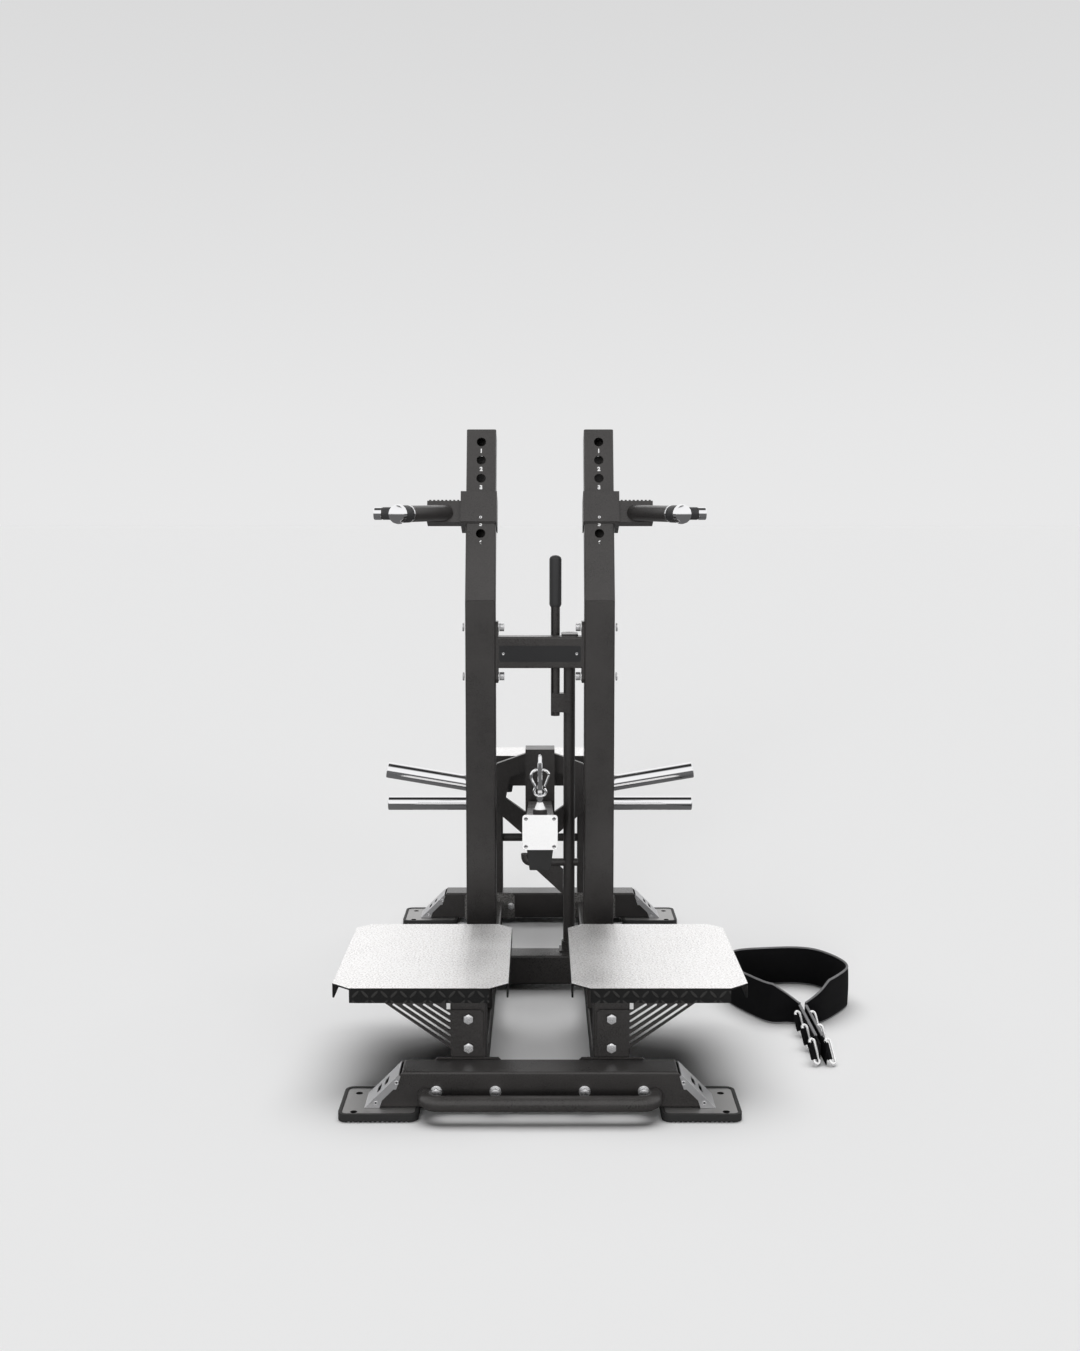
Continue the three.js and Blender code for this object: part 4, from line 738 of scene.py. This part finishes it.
nut_pattern = hexagon("flanged_nut", 0.0252, 0.019, flange=0.029)
head_pattern = hexagon("bolt_head", 0.0262, 0.0095)
print("nut: %d faces, head: %d faces" % (len(nut_pattern.data.polygons),
                                        len(head_pattern.data.polygons)))

# %% [markdown]
# ## Where the bolts are
#
# Four nuts hold each cross beam, four heads each pair of deck gussets, and heads outside with
# nuts inside hold the tie beam between the uprights. The arm's axle ends in a nut on either
# rear post, and one head shows on each rear flange.

# %% Set the nuts and bolt heads
BEAM_FRONT, BEAM_BACK, BEAM_UP = -0.3, 1830.3, 59
GUSSET_FRONT, GUSSET_BACK = 90, 660.4
TIE_Y, OUTER_FACE, EAR_FACE = 980, 224.3, 125.4
AXLE_Y, AXLE_UP = 1785, 303
TOWARDS_FRONT, TOWARDS_BACK = (0, -1, 0), (0, 1, 0)
nut_places, head_places = [], []
for side in (-1, 1):
    outward, inward = (side, 0, 0), (-side, 0, 0)
    for x in (109, 253):
        nut_places.append((place(side * x, BEAM_FRONT, BEAM_UP), TOWARDS_FRONT))
        nut_places.append((place(side * x, BEAM_BACK, BEAM_UP), TOWARDS_BACK))
    for z in (138, 212):
        head_places.append((place(side * 178, GUSSET_FRONT, z), TOWARDS_FRONT))
        head_places.append((place(side * 178, GUSSET_BACK, z), TOWARDS_BACK))
    for z in (973, 1122):
        head_places.append((place(side * OUTER_FACE, TIE_Y, z), outward))
        nut_places.append((place(side * EAR_FACE, TIE_Y, z), inward))
    nut_places.append((place(side * OUTER_FACE, AXLE_Y, AXLE_UP), outward))
    head_places.append((place(side * 104, 1733.4, 64), TOWARDS_FRONT))
for pattern, places in ((nut_pattern, nut_places), (head_pattern, head_places)):
    for number, (at, towards) in enumerate(places, 1):
        set_copy(pattern, f"{pattern.name}_{number}", at, towards, "frame", zinc)
    print(pattern.name, len(places))
    bpy.data.objects.remove(pattern)

# %% [markdown]
# ## Screws and rivets
#
# Smaller fasteners hold the folded end caps, the nose plate and the name plate on the tie
# beam, and each upright and sleeve has one on its leaning face. They are low round heads
# with a socket, cut by insetting the top face and pushing it in.


# %% Model the small fasteners
def socket_screw(radius, height):
    """Low round screw head with a round socket, pointing up Z."""
    bpy.ops.mesh.primitive_cylinder_add(vertices=24, radius=radius, depth=height,
                                        location=(0, 0, height / 2))
    head = bpy.context.object
    bpy.ops.object.mode_set(mode="EDIT")
    bpy.ops.mesh.select_mode(type="FACE")
    bpy.ops.mesh.select_all(action="DESELECT")
    work = bmesh.from_edit_mesh(head.data)
    for face in work.faces:
        face.select = face.normal.z > 0.9
    bmesh.update_edit_mesh(head.data)
    bpy.ops.mesh.inset(thickness=radius * 0.45, depth=0)
    bpy.ops.mesh.extrude_region_move(TRANSFORM_OT_translate={"value": (0, 0, -height * 0.5)})
    bpy.ops.object.mode_set(mode="OBJECT")
    use_modifier(head, "BEVEL", width=radius * 0.12, segments=2, limit_method="ANGLE")
    bpy.ops.object.shade_smooth_by_angle(angle=math.radians(35))
    return head


CAP_PROUD, TUBE = 3.3, 90
PLATE_Y, PLATE_UP = 944.1, 1044
screw_pattern = socket_screw(0.0055, 0.003)
cap_screws = 0
for row_y in (0, 1740):
    for side in (-1, 1):
        for x, z in ((401, 31), (350, 82)):
            for y, way in ((row_y - CAP_PROUD, -1), (row_y + TUBE + CAP_PROUD, 1)):
                cap_screws += 1
                set_copy(screw_pattern, f"cap_screw_{cap_screws}", place(side * x, y, z),
                         (0, way, 0), "frame", zinc)
for number, (x, z) in enumerate(((-39, 544), (39, 544), (-39, 622), (39, 622)), 1):
    set_copy(screw_pattern, f"nose_screw_{number}", place(x, 553, z), TOWARDS_FRONT, "arm",
             chrome)
rivet_pattern = socket_screw(0.0042, 0.0016)
for number, x in enumerate((-110, 110), 1):
    set_copy(rivet_pattern, f"name_plate_rivet_{number}", place(x, PLATE_Y - 0.9, PLATE_UP),
             TOWARDS_FRONT, "frame", chrome)
off_upright = (0, -math.cos(LEAN), math.sin(LEAN))
for side, word in ((-1, "left"), (1, "right")):
    set_copy(rivet_pattern, f"{word}_sleeve_screw", on_upright(side, 0, -6.5, 258),
             off_upright, f"{word}_handle", chrome)
    set_copy(rivet_pattern, f"{word}_upright_screw", on_upright(side, 0, 0, 352),
             off_upright, "frame", chrome)
bpy.data.objects.remove(screw_pattern)
bpy.data.objects.remove(rivet_pattern)
print("cap screws:", cap_screws)

# %% [markdown]
# ## The bare name plate
#
# A thin black plate with round corners sits on the tie beam. It carries no words. Only the
# short edges that run through its thickness are bevelled, which rounds the corners.

# %% Lay the bare name plate on the tie beam
bpy.ops.mesh.primitive_cube_add(size=1, location=place(0, PLATE_Y, PLATE_UP),
                                scale=(0.244, 0.0016, 0.048))
name_plate = bpy.context.object
name_plate.name = "bare_name_plate"
bpy.ops.object.transform_apply(location=False, rotation=False, scale=True)
bpy.ops.object.mode_set(mode="EDIT")
bpy.ops.mesh.select_mode(type="EDGE")
bpy.ops.mesh.select_all(action="DESELECT")
work = bmesh.from_edit_mesh(name_plate.data)
for line in work.edges:
    a, b = (v.co for v in line.verts)
    line.select = abs(a.y - b.y) > 0.0005
bmesh.update_edit_mesh(name_plate.data)
bpy.ops.mesh.bevel(offset=0.006, segments=4)
bpy.ops.object.mode_set(mode="OBJECT")
plate_black = finish("name plate enamel", (0.02, 0.02, 0.021), metallic=0.1,
                     grain_scale=700, tone=(0.9, 1.1), rough=(0.25, 0.35), bump=0.05)
settle(name_plate, "frame", plate_black)
print("name plate: %d faces" % len(name_plate.data.polygons))

# %% [markdown]
# ## The hook's base
#
# The hook stands on a small cone on the arm's nose, and the cone turns with it.

# %% Set the turned base under the hook
BASE_LOW, BASE_HIGH, BASE_TALL = 0.0165, 0.0078, 0.02
bpy.ops.mesh.primitive_cone_add(vertices=48, radius1=BASE_LOW, radius2=BASE_HIGH,
                                depth=BASE_TALL, location=place(0, 600, 650.2))
hook_base = bpy.context.object
hook_base.name = "hook_base"
use_modifier(hook_base, "BEVEL", width=0.0012, segments=3, limit_method="ANGLE")
bpy.ops.object.shade_smooth_by_angle(angle=math.radians(35))
# The base's near-white finish is a painted highlight of polished metal.
settle(hook_base, "hook", nickel_with_painted_highlight)
print("hook base: %.1f mm tall" % (BASE_TALL * 1000))

# %% [markdown]
# ## Hole numbers
#
# Each pin hole in the uprights has its number printed below it, from 1 at the top to 6 at
# the bottom. The numbers are text turned into thin meshes and laid on the leaning face.

# %% Print the hole numbers
HOLES, LOWEST_HOLE, HOLE_PITCH, BELOW_HOLE = 6, 208.8, 58.4, 29.5
print_white = finish("white print", (0.8, 0.8, 0.8), metallic=0.0, grain_scale=800,
                     tone=(0.95, 1.03), rough=(0.5, 0.6), bump=0.05)
for side, word in ((-1, "left"), (1, "right")):
    for hole in range(HOLES):
        along = LOWEST_HOLE + (HOLES - 1 - hole) * HOLE_PITCH
        bpy.ops.object.text_add()
        digit = bpy.context.object
        digit.data.body = str(hole + 1)
        digit.data.size = 0.0172
        digit.data.extrude = 0.0002
        digit.data.offset = 0.0009
        digit.data.align_x = "CENTER"
        digit.data.align_y = "CENTER"
        select_only(digit)
        bpy.ops.object.convert(target="MESH")
        digit = bpy.context.object
        digit.name = f"{word}_hole_number_{hole + 1}"
        at = on_upright(side, 0, -0.15, along - BELOW_HOLE)
        digit.matrix_world = Matrix.Translation(at) @ \
            Matrix.Rotation(math.pi / 2 - LEAN, 4, "X")
        settle(digit, "frame", print_white)
print("hole numbers: %d on each upright" % HOLES)

# %% [markdown]
# ## Grips on the handles
#
# The handles' bars are powder coated where they leave the bracket and carry a rubber grip
# towards their chrome caps. Each grip is a thin sleeve over the bar. The side grip is long;
# the front bar has a short one at its tip, with a narrow chrome collar behind it.


# %% Sleeve the handle bars
GRIP_UP = 281  # the handles' height along the uprights
SIDE_FROM, SIDE_TO, SIDE_BEHIND, SIDE_RADIUS = 166, 299, 28, 0.0181
FRONT_RADIUS = 0.0241


def grip_sleeve(name, start, end, radius, body):
    """Thin rubber sleeve between two points."""
    along = end - start
    bpy.ops.mesh.primitive_cylinder_add(vertices=40, radius=radius, depth=along.length,
                                        end_fill_type="NOTHING")
    sleeve = bpy.context.object
    sleeve.name = name
    use_modifier(sleeve, "SOLIDIFY", thickness=0.0011, offset=1.0)
    use_modifier(sleeve, "BEVEL", width=0.0005, segments=2, limit_method="ANGLE")
    bpy.ops.object.shade_smooth_by_angle(angle=math.radians(35))
    turn = along.to_track_quat("Z", "Y").to_matrix().to_4x4()
    sleeve.matrix_world = Matrix.Translation((start + end) / 2) @ turn
    return settle(sleeve, body, grip_rubber)


for side, word in ((-1, "left"), (1, "right")):
    grip_sleeve(f"{word}_side_grip", on_upright(side, side * SIDE_FROM, SIDE_BEHIND, GRIP_UP),
                on_upright(side, side * SIDE_TO, SIDE_BEHIND, GRIP_UP), SIDE_RADIUS,
                f"{word}_handle")
    foot = on_upright(side, side * 105, 13, GRIP_UP - 3)
    tip = on_upright(side, side * 227, -197, GRIP_UP - 77.6)
    back = (foot - tip).normalized()
    grip_sleeve(f"{word}_front_grip", tip + back * 0.001, tip + back * 0.042, FRONT_RADIUS,
                f"{word}_handle")
    collar = grip_sleeve(f"{word}_front_collar", tip + back * 0.043, tip + back * 0.05,
                         FRONT_RADIUS, f"{word}_handle")
    collar.data.materials[0] = chrome
print("handle grips: 4, collars: 2")

# %% [markdown]
# ## The belt
#
# The belt is a long padded band that stands on its edge in a wide loop. Its route is the
# one the loop takes on the floor, given as shares of its spans from the left front end round
# to the right one, with a smooth curve through the points.


# %% Draw the belt's route
BELT_X, BELT_Y, SPAN_X, SPAN_Y = 745, 655, 175, 375
END_GAP = 17.5  # between the two front ends
FULL_HEIGHT, TIP_HEIGHT, TAPER = 119.5, 66, 75
BELT_ROUTE = [(0.02, 0), (-0.16, 0.03), (-0.47, 0.04), (-0.75, 0.24), (-0.98, 0.48),
              (-1.02, 0.66), (-0.78, 0.92), (-0.06, 1), (0.39, 1), (0.68, 0.92), (0.92, 0.72),
              (1, 0.52), (0.86, 0.34), (0.4, 0.05), (0.1, 0)]


def smooth_route(points, per_span):
    """Catmull-Rom curve through points."""
    stations = []
    last = len(points) - 1
    for i in range(last):
        p0, p1 = points[max(i - 1, 0)], points[i]
        p2, p3 = points[i + 1], points[min(i + 2, last)]
        for step in range(per_span):
            t = step / per_span
            stations.append(tuple(
                0.5 * (2 * b + (c - a) * t + (2 * a - 5 * b + 4 * c - d) * t * t
                       + (3 * b - a - 3 * c + d) * t ** 3)
                for a, b, c, d in zip(p0, p1, p2, p3)))
    stations.append(points[-1])
    return stations


route = smooth_route([(BELT_X + x * SPAN_X, BELT_Y + y * SPAN_Y) for x, y in BELT_ROUTE], 10)


def band_height(x, y):
    """Height of the band above the floor: full, but lower at its two front ends."""
    share = max(BELT_X - x, x - BELT_X - END_GAP, y - BELT_Y - TAPER) / TAPER
    return TIP_HEIGHT + (FULL_HEIGHT - TIP_HEIGHT) * min(max(share, 0), 1)


print("belt route: %d stations" % len(route))

# %% [markdown]
# ## A section carried along the route
#
# The band is one closed mesh, made by carrying a section along the route. The section is a
# flat cushion, thick in the middle and thin at the edges, and each edge is bound by a small
# rounded cap. The length along the strip and the height are kept on the mesh for the weave.


# %% Write the helpers of the band
EDGE_HALF, SWELL, EDGE_INSET = 2.6, 2.2, 1.5
BINDING_WIDE, BINDING_TALL = 3.6, 3.2


def swept_band(name, section):
    """Closed strip along the route. section(height) gives (sideways, up) pairs in mm."""
    mesh = bpy.data.meshes.new(name)
    work = bmesh.new()
    lengths = work.verts.layers.float.new("along")
    heights = work.verts.layers.float.new("up")
    rings, travelled = [], 0.0
    for i, (x, y) in enumerate(route):
        before, after = route[max(i - 1, 0)], route[min(i + 1, len(route) - 1)]
        way = Vector((after[0] - before[0], after[1] - before[1])).normalized()
        side = Vector((-way.y, way.x))
        if i:
            travelled += math.dist(route[i - 1], route[i])
        ring = []
        for offset, up in section(band_height(x, y)):
            vertex = work.verts.new(place(x + side.x * offset, y + side.y * offset, up))
            vertex[lengths] = travelled / 1000
            vertex[heights] = up / 1000
            ring.append(vertex)
        rings.append(ring)
    count = len(rings[0])
    for a, b in zip(rings, rings[1:]):
        for k in range(count):
            work.faces.new((a[k], a[(k + 1) % count], b[(k + 1) % count], b[k]))
    work.faces.new(rings[0][::-1])
    work.faces.new(rings[-1])
    bmesh.ops.recalc_face_normals(work, faces=work.faces)
    work.to_mesh(mesh)
    work.free()
    obj = bpy.data.objects.new(name, mesh)
    bpy.context.scene.collection.objects.link(obj)
    return obj


def cushion_section(height):
    """Flat cushion: thin at the bottom and top edges, thickest at mid height."""
    outline = []
    steps = 10
    for i in range(steps + 1):
        share = i / steps
        outline.append((EDGE_HALF + SWELL * math.sin(math.pi * share) ** 0.6,
                        EDGE_INSET + share * (height - 2 * EDGE_INSET)))
    return outline + [(-offset, up) for offset, up in reversed(outline)]


def edge_section(low):
    """Bound edge: a small rounded cap over the band's top or bottom edge."""
    def section(height):
        centre = BINDING_TALL if low else height - BINDING_TALL
        return [(BINDING_WIDE * math.cos(a), centre + BINDING_TALL * math.sin(a))
                for a in (k * math.pi / 4 for k in range(8))]
    return section


def woven(name, colour, pitch):
    """Webbing whose ribs follow the strip, read from the lengths stored on its mesh."""
    material = finish(name, colour, metallic=0.0, grain_scale=2200, tone=(0.7, 1.35),
                      rough=(0.75, 0.95), bump=0.4)
    tree = material.node_tree
    tree.nodes["Principled BSDF"].inputs["Specular IOR Level"].default_value = 0.15
    waves = []
    for stored in ("along", "up"):
        read = tree.nodes.new("ShaderNodeAttribute")
        read.attribute_name = stored
        scaled = math_in(tree, "MULTIPLY", read.outputs["Fac"], math.tau / pitch)
        waves.append(math_in(tree, "SINE", scaled, 0.0))
    under_relief(material, math_in(tree, "MULTIPLY", *waves), 0.0005, 0.8)
    return material


print("section: %.1f mm thick" % (2 * (EDGE_HALF + SWELL)))

# %% [markdown]
# ## The padded band
#
# The band is black webbing, and its bindings are grey. It is soft on the real machine; here it
# stands for the rigid solid that the simulation uses, which is hidden.

# %% Build the padded band
black_web = woven("black webbing", (0.005, 0.005, 0.0055), 0.0024)
grey_binding = woven("grey binding", (0.24, 0.24, 0.245), 0.0016)
band = swept_band("padded_belt_band", cushion_section)
select_only(band)
bpy.ops.object.shade_smooth_by_angle(angle=math.radians(50))
settle(band, "frame", black_web)
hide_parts("belt_band")
for word, low in (("lower", True), ("upper", False)):
    binding = swept_band(f"{word}_belt_binding", edge_section(low))
    select_only(binding)
    bpy.ops.object.shade_smooth_by_angle(angle=math.radians(60))
    settle(binding, "frame", grey_binding)
print("band: %d faces" % len(band.data.polygons))

# %% [markdown]
# ## Tongues and rings
#
# From each end of the band a webbing tongue runs forward on its edge, with a grey binding on
# top. Three long steel rings are sewn to it in short black loops, so that the belt can be
# hooked shorter or longer. A ring is a bar bent into a long round-ended loop. It leans back,
# with its lower end on the floor, and the loop goes round one of its legs.


# %% Lay the tongues and their rings
RING_BEND, RING_WIRE, RING_HALF = 0.0085, 0.0035, 0.025
TONGUE_LONG = 0.32
RING_PITCH = 112
RING_UP = Vector((-0.16, 0.57, 0.81)).normalized()
RING_LEVEL = Vector((0.84, 0.54, 0))
RING_ACROSS = (RING_LEVEL - RING_UP * RING_UP.dot(RING_LEVEL)).normalized()
RING_TURN = Matrix((RING_ACROSS, RING_UP, RING_ACROSS.cross(RING_UP))).transposed().to_4x4()


def long_ring(name, at):
    """Round-ended steel ring that leans back, its lower end on the floor."""
    bpy.ops.mesh.primitive_torus_add(major_radius=RING_BEND, minor_radius=RING_WIRE,
                                     major_segments=40, minor_segments=14)
    ring = bpy.context.object
    ring.name = name
    for vertex in ring.data.vertices:
        if abs(vertex.co.y) > 1e-6:
            vertex.co.y += math.copysign(RING_HALF, vertex.co.y)
    ring.matrix_world = Matrix.Translation(at) @ RING_TURN
    bpy.ops.object.shade_smooth_by_angle(angle=math.radians(60))
    # The ring's near-white finish is a painted highlight of polished metal.
    return settle(ring, "frame", nickel_with_painted_highlight)


def soft_box(name, at, size, round_off, segments=3):
    """Box with rounded edges, its middle at a point."""
    bpy.ops.mesh.primitive_cube_add(size=1, location=at, scale=size)
    box = bpy.context.object
    box.name = name
    use_modifier(box, "BEVEL", width=round_off, segments=segments, limit_method="ANGLE")
    return box


tongue_back = BELT_Y - 4.8
for side, word, x in ((-1, "left", BELT_X), (1, "right", BELT_X + END_GAP)):
    tongue = soft_box(f"{word}_belt_tongue", place(x, tongue_back - 160, 31),
                      (0.0036, TONGUE_LONG, 0.058), 0.0012, segments=2)
    settle(tongue, "frame", black_web)
    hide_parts(f"belt_{word}_tongue")
    edging = soft_box(f"{word}_tongue_binding", place(x, tongue_back - 132, 60.5),
                      (0.008, 0.25, 0.005), 0.0015)
    settle(edging, "frame", grey_binding)
    for number in range(3):
        at = place(x + side * 12.5, tongue_back - 84 - number * RING_PITCH, 35)
        long_ring(f"{word}_belt_ring_{number + 1}", at)
        loop = soft_box(f"{word}_ring_loop_{number + 1}", (0, 0, 0), (0.0125, 0.046, 0.0105),
                        0.002)
        loop.matrix_world = Matrix.Translation(at - RING_ACROSS * RING_BEND) @ RING_TURN
        settle(loop, "frame", black_web)
print("each tongue: webbing 58 by 320 mm with a binding, three rings and three loops")
